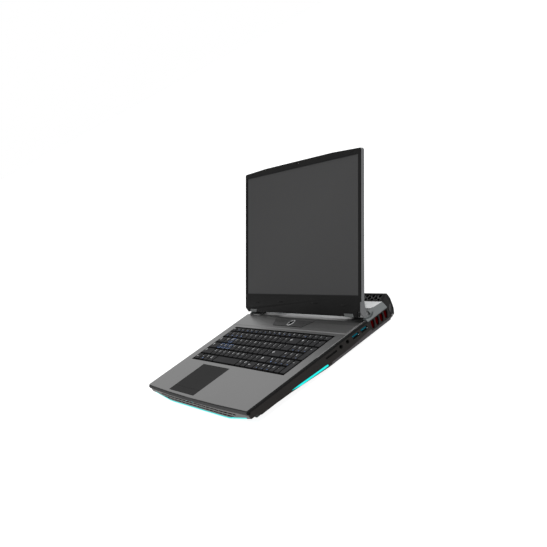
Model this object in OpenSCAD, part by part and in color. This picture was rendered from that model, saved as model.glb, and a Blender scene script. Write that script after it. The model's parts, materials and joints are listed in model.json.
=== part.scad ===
// Large gaming notebook computer, lid open at its rest angle.
// Millimetres, +Z up, +X to the user's right, -Y towards the user.
// The origin is on the table plane, under the middle of the whole open machine.

/* [Base] */
// Overall width of the base
body_w = 400; // [398:1:402]
// Height of the deck surface above the table
deck_z = 29; // [29:0.5:30]
// Height of the machine's flat underside above the table
floor_z = 2; // [1.5:0.5:2.5]
// Thickness of the bottom cover's floor
floor_t = 1.6; // [1.2:0.2:2]
// Y of the front edge of the deck at its middle
front_y = -187.2; // [-188:0.1:-186]
// How far the middle of the front edge stands out past its corners
front_bow = 4; // [2:0.5:5]

/* [Hinge] */
// Y of the lid's hinge axis
hinge_y = 61; // [60:0.5:62]
// Height of the lid's hinge axis above the table
hinge_z = 41.2; // [41:0.1:42]
// Angle that the open lid leans back from the vertical
lean = 32; // [25:1:38]
// Radius of the hinge pins
pin_r = 2.5; // [2:0.1:2.8]
// Running clearance round the pins
pin_gap = 0.05; // [0.03:0.01:0.09]
// Radius of the hinge knuckles
knuckle_r = 5.6; // [5:0.1:5.8]
// Radius of the trough that the lid's lower edge swings through
trough_r = 16.5; // [16.2:0.1:17]

/* [Lid] */
// Overall width of the lid
lid_w = 396; // [394:1:397]
// Distance from the hinge axis forward to the front face of the bezel
lid_front = 10; // [9.6:0.1:10]
// Thickness of the lid at its edges
lid_t = 6.6; // [6.2:0.1:7]
// Height of the lid's top edge above the hinge axis, along the lid
lid_top = 246.5; // [244:0.5:248]
// Depth of the lid's lower edge below the hinge axis, along the lid
lid_bottom = 11.5; // [10:0.5:11.5]
// Width of the picture area
screen_w = 382; // [378:1:384]
// Height of the picture area
screen_h = 215; // [212:1:216]
// Height of the picture area's lower edge above the hinge axis
screen_z = 20.6; // [18:0.2:22]

/* [Keyboard] */
// Width of one key unit
unit_x = 18.2; // [18:0.1:18.3]
// Depth of one full key row
unit_y = 17.6; // [17.2:0.1:17.8]
// Depth of the short function row
func_y = 12.8; // [12:0.1:13]
// Gap between neighbouring keys
key_gap = 2.6; // [2:0.1:3]
// Y of the keyboard's front edge
keys_y0 = -96.5; // [-98:0.5:-95]
// Height of the key tops above the deck
key_proud = 0.7; // [0.3:0.1:0.9]
// Height of one key cap
key_h = 3.6; // [3:0.1:3.8]

/* [Touchpad] */
// Width of the touchpad
pad_w = 105; // [100:1:108]
// Depth of the touchpad
pad_d = 74; // [70:1:75]
// X of the touchpad's left edge
pad_x0 = -104; // [-108:1:-100]
// Y of the touchpad's front edge
pad_y0 = -180.5; // [-181:0.5:-178]

/* [Ports] */
// Radius of a headphone socket's hole
jack_r = 1.8; // [1.76:0.01:1.9]
// Length of a headphone socket's hole
jack_len = 14; // [12:1:15]
// Width of the opening of a USB socket
usb_w = 12.6; // [12.2:0.1:13]
// Height of the opening of a USB socket
usb_h = 5.2; // [5:0.1:5.6]

/* [Hidden] */
$fn = 48;
hw = body_w / 2;
lw = lid_w / 2;
top_t = 1.6;
corner_y = front_y + front_bow;
light_x = 185.3;
tray_z = deck_z - 5.2;
hump_z = deck_z + 5;
rim_z = deck_z + 10.6;
rear_y = 109.3;
mesh_y0 = 94.5;
key_top = deck_z + key_proud;
kx0 = -9.5 * unit_x;
kx1 = 9.5 * unit_x;
keys_y1 = keys_y0 + 5 * unit_y + func_y;
jack_pos = [[-6.6, 19.6], [7.0, 19.6]];
usb_pos = [23.5, 41.2];
fan_x = 132;
fan_y = 22;

// ---------- helpers ----------
// A prism along X from a [y, z] outline
module along_x(x0, x1, pts) translate([x0, 0, 0]) rotate([90, 0, 90]) linear_extrude(height = x1 - x0) polygon(pts);
// A prism along Y from an [x, z] outline
module along_y(y0, y1, pts) translate([0, y1, 0]) rotate([90, 0, 0]) linear_extrude(height = y1 - y0) polygon(pts);
// A prism along Z from an [x, y] outline
module along_z(z0, z1, pts) translate([0, 0, z0]) linear_extrude(height = z1 - z0) polygon(pts);
module box(a, b) translate(a) cube([b[0] - a[0], b[1] - a[1], b[2] - a[2]]);
// A cylinder along X about a given axis
module rod_x(x0, x1, y, z, r) translate([x0, y, z]) rotate([0, 90, 0]) cylinder(h = x1 - x0, r = r);
// The same piece and its mirror image about the middle plane
module both() { children(); mirror([1, 0, 0]) children(); }
// Moves a lid piece, drawn upright about the hinge axis, to the rest angle
module on_lid() translate([0, hinge_y, hinge_z]) rotate([-lean, 0, 0]) children();

// Plan outline of the front of the machine, inset by d
function plan(d) = [[-hw + d, 52], [-hw + d, corner_y + 1.6], [-hw + 1.4 + d * 0.4, corner_y + d],
  [-hw / 2, front_y + 1 + d], [0, front_y + d], [hw / 2, front_y + 1 + d],
  [hw - 1.4 - d * 0.4, corner_y + d], [hw - d, corner_y + 1.6], [hw - d, 52]];
// Lower edge of the front lip, seen from the front, raised by d
function lip_z(x) = 5.4 + max(0, abs(x) - hw * 0.6) * 9.1 / (hw * 0.4 - 8);
function lip(d) = [[-hw + 8, 14.5 + d], [-hw * 0.6, 5.4 + d], [hw * 0.6, 5.4 + d], [hw - 8, 14.5 + d]];
// Rear edge of the deck, along the trough
function deck_rear() = [[hw, 48.6], [130, 48.6], [96, 44.6], [-96, 44.6], [-130, 48.6], [-hw, 48.6]];

// ---------- base ----------
// One length of the tub: side edge height and half width of its flat floor
module tub_slice(y0, y1, edge_z, fx) along_y(y0, y1, [[-198, 24], [-198, edge_z], [-fx, floor_z], [fx, floor_z], [198, edge_z], [198, 24]]);
module tub_hollow(y0, y1, edge_z, fx) along_y(y0, y1, [[-195.8, 30], [-195.8, edge_z + 1.2], [-fx + 0.6, floor_z + floor_t], [fx - 0.6, floor_z + floor_t], [195.8, edge_z + 1.2], [195.8, 30]]);

module bottom_cover() color([0.16, 0.155, 0.15]) difference() {
  union() {
    // front lip block
    intersection() {
      along_y(front_y - 1, -166, [[-197.9, 22.3], [-197.9, 15.3], [-light_x, lip_z(light_x)], [-light_x, lip_z(light_x) + 2.15], [-hw * 0.6, 7.55], [hw * 0.6, 7.55], [light_x, lip_z(light_x) + 2.15], [light_x, lip_z(light_x)], [197.9, 15.3], [197.9, 22.3]]);
      along_z(0, 30, [[-197.9, -160], [-197.9, corner_y + 0.6], [-hw / 2, front_y + 2.6], [hw / 2, front_y + 2.6], [197.9, corner_y + 0.6], [197.9, -160]]);
    }
    tub_slice(-166, -112, 11.2, 175);
    tub_slice(-112, -88, 10.4, 177);
    tub_slice(-88, -62, 9, 181);
    tub_slice(-62, -32, 7, 186);
    tub_slice(-32, 94, 8.6, 191.4);
  }
  // interior, in steps that follow the outside
  along_y(-179.6, -164, [[-192, 30], [-192, 19], [-120, 9.6], [120, 9.6], [192, 19], [192, 30]]);
  tub_hollow(-164.4, -110, 11.2, 175);
  tub_hollow(-112, -86, 10.4, 177);
  tub_hollow(-88, -60, 9, 181);
  tub_hollow(-62, -33.6, 7, 186);
  box([-185.4, -34, floor_z + floor_t], [185.4, -30, 30]);
  box([-195.8, -34, 9.9], [195.8, -30, 30]);
  tub_hollow(-30.4, 92.4, 8.6, 191.4);
  // window for the front grille
  along_y(-190, -179, [[-151, 30], [-151, 12.8], [-125, 9.7], [125, 9.7], [151, 12.8], [151, 30]]);
  // openings to the sockets on the right
  for (y = usb_pos) box([190, y - usb_w / 2, 19.2 - usb_h / 2], [201, y + usb_w / 2, 19.2 + usb_h / 2]);
  for (p = jack_pos) rod_x(190, 201, p[0], p[1], 3.2);
  box([190, -37, 17.3], [201, -15.5, 20.3]);
  // openings to the sockets on the left
  for (y = usb_pos) box([-201, y - usb_w / 2, 19.2 - usb_h / 2], [-190, y + usb_w / 2, 19.2 + usb_h / 2]);
  // side vents
  both() box([190, 54.2, 10.4], [201, 91.6, 30]);
  // rear of the tub stays open into the housing
  box([-188, 90, 8], [188, 96, 30]);
  // fan intakes
  both() translate([fan_x, fan_y, 0]) for (a = [-3 : 3]) translate([a * 9, 0, 0]) box([-2.4, -30, 0], [2.4, 30, 6]);
  // screw holes
  for (p = screw_pos()) translate([p[0], p[1], 0]) cylinder(h = 6, r = 1.6);
}
function screw_pos() = [[-121, -141], [0, -100], [121, -141], [-178, -24], [178, -24], [-70, 60], [70, 60], [-184, 88], [184, 88]];

module bottom_screws() color([0.2, 0.2, 0.2]) for (p = screw_pos()) translate([p[0], p[1], floor_z - 0.4]) difference() {
  union() { cylinder(h = 0.4 + floor_t + 2.4, r = 1.45); translate([0, 0, -0.4]) cylinder(h = 0.8, r = 2.8); }
  translate([0, 0, -1]) cylinder(h = 1.8, r = 1.1, $fn = 6);
}

module rubber_feet() color([0.08, 0.08, 0.08]) {
  for (p = [[-144, -152], [144, -152]]) along_z(0, floor_z, [[p[0] - 22, p[1] - 4], [p[0] + 22, p[1] - 4], [p[0] + 25, p[1]], [p[0] + 22, p[1] + 4], [p[0] - 22, p[1] + 4], [p[0] - 25, p[1]]]);
  along_z(0, floor_z, [[-96, 72], [96, 72], [100, 76], [96, 80], [-96, 80], [-100, 76]]);
}

// Dark band that runs round the front and the sides under the deck
module deck_band() color([0.24, 0.24, 0.245]) difference() {
  union() {
    intersection() {
      along_z(0, deck_z - top_t, plan(0));
      along_x(-hw, hw, [[-200, 24.4], [52, 24.4], [52, 40], [-200, 40]]);
    }
    // front visor, leaning out a little
    intersection() {
      along_z(22.4, deck_z - top_t, plan(-1.6));
      along_x(-hw + 1, hw - 1, [[front_y - 1.5, 22.4], [corner_y + 3.4, 22.4], [corner_y + 3.4, 40], [front_y + 0.2, 40]]);
      box([-hw + 0.6, -200, 0], [hw - 0.6, corner_y + 3.4, 40]);
    }
  }
  along_z(0, 40, [[-197.6, 53], [-197.6, corner_y + 6], [-197.6, corner_y + 3.4], [197.6, corner_y + 3.4], [197.6, 53]]);
  // room for the touchpad
  box([pad_x0 - 1, pad_y0 - 1, 20], [pad_x0 + pad_w + 1, -170, 40]);
}

module top_case() color([0.5, 0.5, 0.5]) difference() {
  union() {
    intersection() {
      along_z(deck_z - top_t, deck_z, plan(0.3));
      along_z(0, 40, concat([[-hw, -200], [hw, -200]], deck_rear()));
    }
    // slightly higher rear deck
    along_x(-197.6, 197.6, [[11, deck_z - 0.2], [13, deck_z + 0.6], [44.4, deck_z + 0.6], [44.4, deck_z - 0.2]]);
    // keyboard surround
    difference() {
      box([kx0 - 3.2, keys_y0 - 3.2, tray_z], [kx1 + 3.2, keys_y1 + 3.2, deck_z - 0.1]);
      box([kx0 - 1.6, keys_y0 - 1.6, tray_z - 1], [kx1 + 1.6, keys_y1 + 1.6, deck_z + 1]);
    }
  }
  box([kx0 - 1.6, keys_y0 - 1.6, 20], [kx1 + 1.6, keys_y1 + 1.6, 40]);
  box([pad_x0 - 0.5, pad_y0 - 0.5, 20], [pad_x0 + pad_w + 0.5, pad_y0 + pad_d + 0.5, 40]);
  along_z(20, 40, [[-66, 38], [-50, 19.4], [50, 19.4], [66, 38]]);
}

module power_panel() color([0.42, 0.42, 0.42]) difference() {
  union() {
    along_z(deck_z - 0.6, deck_z + 0.9, [[-65.8, 37.8], [-49.8, 19.6], [49.8, 19.6], [65.8, 37.8]]);
    along_z(deck_z - 2.4, deck_z - 0.6, [[-63, 36.6], [-49, 20.6], [49, 20.6], [63, 36.6]]);
  }
  translate([0, 29.4, 20]) cylinder(h = 20, r = 8.3);
}

module power_button() color([0.8, 0.8, 0.82]) translate([0, 29.4, 0]) {
  difference() { translate([0, 0, deck_z - 2.6]) cylinder(h = 3.9, r = 8); translate([0, 0, deck_z + 0.7]) cylinder(h = 2, r = 6.3); }
}

// Silver plate: deck edge, trough under the hinge line and top of the hump
module rear_spine_plate() color([0.82, 0.83, 0.84]) difference() {
  union() {
    // front lip that follows the deck's rear edge
    along_z(deck_z - top_t, deck_z, [[-189.6, 48.9], [-130, 48.9], [-96, 44.9], [96, 44.9], [130, 48.9], [189.6, 48.9], [189.6, 58], [-189.6, 58]]);
    intersection() {
      rod_x(-189.6, 189.6, hinge_y, hinge_z, trough_r + 1.6);
      union() {
        box([-190, 44.9, 20], [190, 60, deck_z - top_t - 0.05]);
        box([-190, 59, 20], [190, 80, hump_z]);
      }
    }
    box([-192.4, 76.2, hump_z - 1.6], [192.4, mesh_y0, hump_z]);
  }
  rod_x(-191, 191, hinge_y, hinge_z, trough_r);
}

// Dark rear shell: rear wall, floor lip, corners and the frame of the top vent
module rear_housing() color([0.17, 0.17, 0.17]) difference() {
  intersection() {
    along_x(-hw, hw, [[94, 4.4], [97, 4.4], [105.4, 22], [rear_y, rim_z - 3.4], [rear_y, rim_z], [107, rim_z], [mesh_y0, hump_z], [mesh_y0, 8], [94, 8]]);
    along_z(0, 60, [[-hw, 94], [-hw, 103], [-194.5, rear_y + 0.2], [194.5, rear_y + 0.2], [hw, 103], [hw, 94]]);
    along_y(80, 120, [[-hw, 9.6], [-192, 3.4], [192, 3.4], [hw, 9.6], [hw, 25.5], [194.2, 33.8], [190, 40], [-190, 40], [-194.2, 33.8], [-hw, 25.5]]);
  }
  // hollow behind the wall
  along_x(-186, 186, [[90, 7], [95.6, 7], [103.4, 23], [106.4, 33.4], [mesh_y0 - 3, 31.4], [90, 31]]);
  along_x(-184, 184, [[96, 28], [104.6, 28], [106.3, 34], [106.3, 36], [96, 32]]);
  // opening for the top vent
  along_x(-184, 184, [[96, 28], [106.3, 28], [106.3, 45], [96, 45]]);
  // two exhaust openings and the socket row
  both() box([58, 94.5, 11], [182, 112, 27]);
  box([-46, 94.5, 11], [46, 112, 23]);
}

// Plate with staggered six-sided holes on the slope behind the hump
module top_vent_mesh() color([0.12, 0.12, 0.12]) difference() {
  along_x(-183.9, 183.9, [[96.1, hump_z + 0.1], [106.2, hump_z + 4.6], [106.2, hump_z + 3.3], [96.1, hump_z - 1.2]]);
  for (j = [0 : 1], i = [-30 : 30 - j]) translate([(i + j / 2) * 6, 98.9 + j * 4.4, 30]) cylinder(h = 12, r = 2, $fn = 6);
}

module rear_exhaust_grilles() color([0.1, 0.1, 0.1]) both() difference() {
  along_x(58.3, 181.7, [[98.2, 11.3], [99.8, 11.3], [106.4, 26.7], [104.8, 26.7]]);
  for (i = [0 : 13]) box([61.4 + i * 8.6, 90, 13], [66.6 + i * 8.6, 120, 25]);
}

// Slate corner pieces beside the hump, sloping in towards the top
module side_rail(s) color([0.42, 0.43, 0.44]) mirror([s < 0 ? 1 : 0, 0, 0]) difference() {
  intersection() {
    along_x(190, hw, [[52.4, 24.4], [93.8, 24.4], [93.8, 34.2], [70, 36.2], [64, 36.2], [57, 31], [52.4, 28.6]]);
    along_y(40, 100, [[190, 20], [hw, 20], [hw, 25.2], [193.2, 36.4], [190, 36.4]]);
  }
  // ledge for the silver plate
  box([189, 76.1, hump_z - 1.65], [192.5, 95, 40]);
  // swing of the lid's corner and of its end cap
  intersection() {
    rod_x(189, 201, hinge_y, hinge_z, 11.2);
    box([188, 40, 20], [202, hinge_y + 4.2, 60]);
  }
  rod_x(lw - 2.4, 201, hinge_y, hinge_z, 13.9);
}
module side_rail_left() side_rail(-1);
module side_rail_right() side_rail(1);

// Side skins with the socket and light openings
function trim_profile() = [[corner_y + 3.5, 24.2], [corner_y + 3.5, 22.3], [corner_y + 0.6, 22.3], [corner_y + 0.6, 15.3], [-172.4, 15.2], [-166, 11.3], [-138, 11.3],
  [-109, 10.3], [-40, 5.6], [-33, 5.4], [-31, 8.9], [52, 8.9], [52, 24.2]];
// Outline of the side light, grown by d
function light(d) = [[-108.4 - 4 * d, 12.4], [-95, 12.5 + d], [-43.6, 10.5 + d], [-39.2 + d, 10 + d], [-38.4 + d, 8.9], [-39.4 + d, 7.5 - d], [-46, 7.5 - d], [-92, 9.5 - d], [-103, 11.3 - d]];
module side_trim(s) color([0.17, 0.165, 0.16]) mirror([s < 0 ? 1 : 0, 0, 0]) difference() {
  along_x(198, hw, trim_profile());
  for (y = usb_pos) box([190, y - usb_w / 2 - 0.4, 19.2 - usb_h / 2 - 0.3], [201, y + usb_w / 2 + 0.4, 19.2 + usb_h / 2 + 0.3]);
  if (s > 0) {
    for (p = jack_pos) rod_x(190, 201, p[0], p[1], 3.2);
    box([190, -37, 17.3], [201, -15.5, 20.3]);
  }
  along_x(190, 201, light(0.1));
}
module side_trim_left() side_trim(-1);
module side_trim_right() side_trim(1);

module side_light_bars() color([0.1, 0.9, 0.85]) both() along_x(198.05, hw, light(0));

// Side vent panels with four slanted openings
module side_vent(s) color([0.15, 0.15, 0.15]) mirror([s < 0 ? 1 : 0, 0, 0]) difference() {
  along_x(198, hw, [[52.05, 8.9], [93.8, 8.9], [93.8, 24.2], [52.05, 24.2]]);
  for (i = [0 : 3]) translate([0, i * 9.2, 0]) along_x(190, 202, [[57, 23.2], [63.4, 22.8], [62.2, 17], [58.4, 10.7], [54.8, 11.7], [55, 16]]);
}
module side_vent_left() side_vent(-1);
module side_vent_right() side_vent(1);

module vent_glow_strips() color([0.45, 0.02, 0.02]) both() box([192.2, 54.4, 10.6], [193.4, 91.4, 23.6]);

module front_grille() color([0.13, 0.13, 0.13]) difference() {
  intersection() {
    along_x(-150.9, 150.9, [[front_y + 3, 22.2], [front_y + 5, 22.2], [front_y + 6.4, 9.8], [front_y + 4.4, 9.8]]);
    along_y(-190, -170, [[-150.9, 30], [-150.9, 12.9], [-124.9, 9.8], [124.9, 9.8], [150.9, 12.9], [150.9, 30]]);
  }
  for (i = [-8 : 7], j = [0 : 1]) translate([8 + i * 16.4 + j * 7, 0, 10.2 + j * 4.7]) box([-7.3, -200, 0], [7.3, -170, 2.3]);
}

module front_light_bar() color([0.1, 0.9, 0.85]) intersection() {
  along_y(front_y, front_y + 12, concat(lip(0), [for (i = [3 : -1 : 0]) lip(2.1)[i]]));
  along_z(0, 30, [[-light_x + 0.1, front_y + 8.6], [-light_x + 0.1, front_y + 4.2], [-hw / 2, front_y + 2.1], [hw / 2, front_y + 2.1], [light_x - 0.1, front_y + 4.2], [light_x - 0.1, front_y + 8.6]]);
}

module status_leds() color([0.2, 0.9, 0.9]) for (x = [-22, 2]) box([x - 1.6, front_y - 0.9, 21.4], [x + 1.6, front_y + 1.4, 22.3]);

// ---------- inside the base ----------
module motherboard() color([0.07, 0.2, 0.12]) difference() {
  along_z(8, 9.6, [[-73, -98], [178, -98], [178, -30], [76, -30], [76, 48], [-73, 48]]);
  for (p = [[-66, -90], [60, -90], [172, -36], [-66, 40], [70, 40]]) translate([p[0], p[1], 0]) cylinder(h = 20, r = 1.6);
}
module heat_spreader() color([0.72, 0.45, 0.3]) {
  box([-66, -20, 11.4], [-14, 24, 14.4]);
  box([14, -20, 11.4], [66, 24, 14.4]);
  // processor and graphics chips under the plates
  box([-52, -10, 9.6], [-28, 14, 11.4]);
  box([26, -12, 9.6], [54, 16, 11.4]);
}
module heat_pipes() color([0.75, 0.4, 0.25]) both() for (k = [0 : 1]) translate([34 + k * 9, 0, 17.2]) {
  translate([0, -14, 0]) rotate([-90, 0, 0]) cylinder(h = 84 - k * 9, r = 2.8);
  translate([12, 70 - k * 9, 0]) rotate_extrude(angle = 90, $fn = 64) translate([-12, 0]) circle(r = 2.8, $fn = 32);
  translate([12, 82 - k * 9, 0]) rotate([0, 90, 0]) cylinder(h = 128 - k * 9, r = 2.8);
}
module fin_stacks() color([0.75, 0.76, 0.78]) both() {
  box([84, 70.6, 5.6], [180, 85.6, 6.6]);
  box([84, 70.6, 13.2], [180, 85.6, 14.4]);
  for (i = [0 : 23]) box([84 + i * 4.13, 70.6, 6.6], [84.8 + i * 4.13, 85.6, 13.2]);
}
module fan_housing() color([0.13, 0.13, 0.14]) difference() {
  union() {
    translate([fan_x, fan_y, 4.2]) cylinder(h = 10.2, r = 44);
    box([fan_x - 44, fan_y, 4.2], [fan_x + 44, 68.6, 14.4]);
  }
  translate([fan_x, fan_y, 5.4]) cylinder(h = 7.8, r = 42);
  box([fan_x - 42, fan_y, 5.4], [fan_x + 42, 70, 13.2]);
  // intakes above and below the wheel
  difference() {
    translate([fan_x, fan_y, 0]) cylinder(h = 20, r = 24);
    translate([fan_x, fan_y, 0]) cylinder(h = 5.4, r = 8);
    box([fan_x - 26, fan_y - 1.6, 0], [fan_x + 26, fan_y + 1.6, 5.4]);
  }
  translate([fan_x, fan_y, 3]) cylinder(h = 6, r = 1.3);
}
module fan_housing_right() fan_housing();
module fan_housing_left() mirror([1, 0, 0]) fan_housing();
module fan_wheel(s) color([0.2, 0.2, 0.21]) translate([s * fan_x, fan_y, 0]) {
  difference() { translate([0, 0, 5.9]) cylinder(h = 6.8, r = 12); translate([0, 0, 5]) cylinder(h = 1.9, r = 3); }
  translate([0, 0, 4.6]) cylinder(h = 3, r = 1.24);
  for (a = [0 : 14.4 : 359]) rotate(a) translate([11.4, 0, 6.1]) rotate(18 * s) cube([26, 0.8, 6.2]);
}
module fan_impeller_right() fan_wheel(1);
module fan_impeller_left() fan_wheel(-1);
module battery() color([0.1, 0.1, 0.11]) {
  for (i = [0 : 5]) box([-118 + i * 39.6, -162, floor_z + floor_t], [-80 + i * 39.6, -110, 20]);
  box([-118, -110, floor_z + floor_t], [118, -105, 12]);
}
module memory_modules() color([0.08, 0.25, 0.15]) for (k = [0 : 1]) box([92, -94 + k * 32, 10.6 + k * 0], [161.6, -65 + k * 32, 14.4]);
module storage_drive() color([0.6, 0.61, 0.62]) box([-175, -98, floor_z + floor_t], [-75, -28.2, 12.6]);
module speakers() color([0.1, 0.1, 0.1]) both() difference() {
  box([124.5, -162, 8], [184, -122, 20]);
  box([132, -163, 12], [176, -158, 18]);
}
module keyboard_tray() color([0.07, 0.07, 0.07]) union() {
  box([kx0 - 3.2, keys_y0 - 3.2, tray_z - 1.8], [kx1 + 3.2, keys_y1 + 3.2, tray_z]);
  box([kx0 - 1.5, keys_y0 - 1.5, tray_z], [kx1 + 1.5, keys_y1 + 1.5, tray_z + 0.3]);
}
module usb_ports() color([0.1, 0.3, 0.75]) both() for (y = usb_pos) difference() {
  box([182.4, y - usb_w / 2 - 0.8, 19.2 - usb_h / 2 - 0.8], [195.5, y + usb_w / 2 + 0.8, 19.2 + usb_h / 2 + 0.8]);
  box([183.4, y - usb_w / 2, 19.2 - usb_h / 2], [201, y + usb_w / 2, 19.2 + usb_h / 2]);
}
module audio_jacks() color([0.12, 0.12, 0.12]) for (p = jack_pos) difference() {
  union() { box([182, p[0] - 3.4, p[1] - 3.4], [195.5, p[0] + 3.4, p[1] + 3.4]); rod_x(195, 199, p[0], p[1], 3.1); }
  rod_x(199 - jack_len, 201, p[0], p[1], jack_r);
}
module card_reader() color([0.3, 0.3, 0.31]) difference() {
  box([168, -38.6, 16.6], [195.5, -14, 21]);
  box([169, -37, 17.4], [201, -15.6, 20.2]);
}
// Power inlet, picture socket and network socket on the rear
module rear_ports() color([0.12, 0.12, 0.13]) {
  difference() {
    along_x(-45.7, 45.7, [[98, 11.3], [100, 11.3], [104.4, 22.7], [102.4, 22.7]]);
    translate([-32, 90, 16.8]) rotate([-90, 0, 0]) cylinder(h = 20, r = 4.2);
    box([-18.5, 90, 14], [-2.5, 112, 19.6]);
    box([6, 90, 12.6], [19, 112, 21.6]);
    box([25, 90, 14.2], [37.6, 112, 19.4]);
  }
  // sockets behind the plate
  difference() {
    box([-38, 84, 11.3], [-26, 97.9, 22.3]);
    translate([-32, 85, 16.8]) rotate([-90, 0, 0]) cylinder(h = 20, r = 3.6);
  }
  difference() { box([-19.5, 84, 13], [-1.5, 97.9, 20.6]); box([-18.5, 85, 14], [-2.5, 99, 19.6]); }
  difference() { box([5, 84, 11.6], [20, 97.9, 22.4]); box([6, 85, 12.6], [19, 99, 21.6]); }
  difference() { box([24, 84, 13.2], [38.6, 97.9, 20.4]); box([25, 85, 14.2], [37.6, 99, 19.4]); }
}

// ---------- hinges ----------
module hinge_base(s) color([0.35, 0.36, 0.37]) mirror([s < 0 ? 1 : 0, 0, 0]) difference() {
  union() {
    rod_x(126, 151.6, hinge_y, hinge_z, knuckle_r);
    translate([0, hinge_y, hinge_z]) along_x(126, 151.6, [[0, -3], [0, knuckle_r - 0.01], [12, knuckle_r - 0.4], [27, -3], [29, hump_z - hinge_z], [15.4, hump_z - hinge_z], [13.4, -3]]);
  }
  rod_x(120, 160, hinge_y, hinge_z, pin_r);
}
module hinge_base_left() hinge_base(-1);
module hinge_base_right() hinge_base(1);
module hinge_pins() color([0.7, 0.7, 0.72]) both() rod_x(127, 175.4, hinge_y, hinge_z, pin_r);

module hinge_lid(s) color([0.42, 0.42, 0.43]) on_lid() mirror([s < 0 ? 1 : 0, 0, 0]) {
  difference() {
    union() {
      rod_x(152, 176, 0, 0, knuckle_r);
      box([152, -lid_front + lid_t, -knuckle_r], [176, 0, 12]);
    }
    box([150, -2.2, 5.6], [178, 1, 13]);
    rod_x(150, 178, 0, 0, pin_r + pin_gap);
  }
  // tab that wraps the lower edge of the lid
  along_y(-lid_front - 0.2, -lid_front + lid_t, [[150, -7], [176, -7], [178, -12], [153, -12]]);
}
module hinge_lid_left() hinge_lid(-1);
module hinge_lid_right() hinge_lid(1);

// ---------- lid ----------
function lid_outline(d) = [[-lw + d, -3.4 + d], [-189.5, -3.4 + d], [-187, -lid_bottom + d], [187, -lid_bottom + d], [189.5, -3.4 + d], [lw - d, -3.4 + d],
  [lw - d, lid_top - 5.2 - d * 0.5], [lw - 2.8 - d * 0.5, lid_top - 2.6 - d], [115, lid_top - d], [-115, lid_top - d], [-lw + 2.8 + d * 0.5, lid_top - 2.6 - d], [-lw + d, lid_top - 5.2 - d * 0.5]];
module tab_cuts() both() along_y(-20, 20, [[149.7, -6.7], [176.2, -6.7], [178.5, -13], [152.5, -13]]);

module lid_back_cover() color([0.34, 0.345, 0.35]) on_lid() difference() {
  union() {
    along_y(-lid_front + 1.4, -lid_front + lid_t, lid_outline(0));
    // raised hood on the back
    along_y(-lid_front + lid_t - 0.1, -lid_front + lid_t + 1.4, [[-120, 24], [120, 24], [158, 70], [158, 200], [128, 232], [-128, 232], [-158, 200], [-158, 70]]);
  }
  // cavity for the display
  box([-194.4, -lid_front + 1, 14], [194.4, -lid_front + 4.8, 239.9]);
  // seats of the side plates
  both() box([lw - 2.05, -20, -4], [lw + 1, 0, 11.6]);
  // room for the base knuckles, and the seats of the lid knuckles
  both() { rod_x(125.2, 152, 0, 0, knuckle_r + 0.6); rod_x(151.9, 176.1, 0, 0, knuckle_r + 0.05); }
  tab_cuts();
  // camera pocket
  translate([0, -lid_front + 3.6, 242.2]) rotate([90, 0, 0]) cylinder(h = 6, r = 2.3);
}
module lid_bezel() color([0.12, 0.12, 0.12]) on_lid() difference() {
  difference() {
    along_y(-lid_front, -lid_front + 1.4, lid_outline(0.4));
    both() box([lw - 2.05, -20, -4], [lw + 1, 0, 11.6]);
  }
  box([-screen_w / 2, -20, screen_z], [screen_w / 2, 0, screen_z + screen_h]);
  tab_cuts();
  translate([0, 0, 242.2]) rotate([90, 0, 0]) cylinder(h = 20, r = 2.3);
}
module display_panel() color([0.27, 0.27, 0.275]) on_lid() box([-193.6, -lid_front + 1.4, 15], [193.6, -lid_front + 4.6, 239.2]);
module webcam() color([0.05, 0.05, 0.06]) on_lid() difference() {
  translate([0, -lid_front + 3.4, 242.2]) rotate([90, 0, 0]) cylinder(h = 3.2, r = 2.1);
  translate([0, -lid_front + 0.6, 242.2]) rotate([90, 0, 0]) cylinder(h = 3.2, r = 1.2);
}
// Side plates that widen towards the hinge line and hang below the lid's corners
module lid_end_caps() color([0.42, 0.42, 0.43]) on_lid() both()
  along_x(lw - 2, lw, [[-lid_front + 0.02, 11.55], [-lid_front + 0.02, -5], [-4.2, -12.9], [0.5, -12.6], [-0.3, -2], [-lid_front + lid_t, 11.55]]);

// ---------- keys and touchpad ----------
// One key cap: x and width in units from the left, row 0 at the front, rows deep
function row_y(r) = keys_y0 + r * unit_y;
module cap(u, w, r, d = 1) {
  x0 = kx0 + u * unit_x + key_gap / 2; x1 = kx0 + (u + w) * unit_x - key_gap / 2;
  y0 = row_y(r) + key_gap / 2; y1 = (r == 5 ? row_y(5) + func_y : row_y(r + d)) - key_gap / 2;
  intersection() {
    along_y(y0, y1, [[x0, key_top - key_h], [x1, key_top - key_h], [x1 - 1.1, key_top], [x0 + 1.1, key_top]]);
    along_x(x0, x1, [[y0, key_top - key_h], [y1, key_top - key_h], [y1 - 0.7, key_top], [y0 + 1.1, key_top]]);
  }
}
key_col = [0.18, 0.18, 0.19];
module keys_function_row() color(key_col) for (i = [0 : 19]) cap(i * 0.95, 0.95, 5);
module keys_number_row() color(key_col) { for (i = [0 : 12]) cap(i, 1, 4); cap(13, 2, 4); }
module keys_tab_row() color(key_col) { cap(0, 1.5, 3); cap(1.5, 1, 3); for (i = [3 : 12]) cap(i + 0.5, 1, 3); cap(13.5, 1.5, 3); }
module keys_caps_row() color(key_col) { cap(0, 1.75, 2); for (i = [4 : 11]) cap(i + 0.75, 1, 2); cap(12.75, 2.25, 2); }
module keys_shift_row() color(key_col) { cap(0, 2.25, 1); for (i = [0 : 9]) cap(i + 2.25, 1, 1); cap(12.25, 1.75, 1); }
module keys_modifier_row() color(key_col) { cap(0, 1.25, 0); cap(1.25, 1, 0); cap(2.25, 1, 0); cap(3.25, 1.25, 0); cap(9.5, 1, 0); cap(10.5, 1, 0); cap(11.5, 1.5, 0); }
module spacebar() color(key_col) cap(4.5, 5, 0);
module arrow_keys() color(key_col) { cap(13, 1, 0); cap(14, 1, 0); cap(15, 1, 0); cap(14, 1, 1); }
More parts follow.
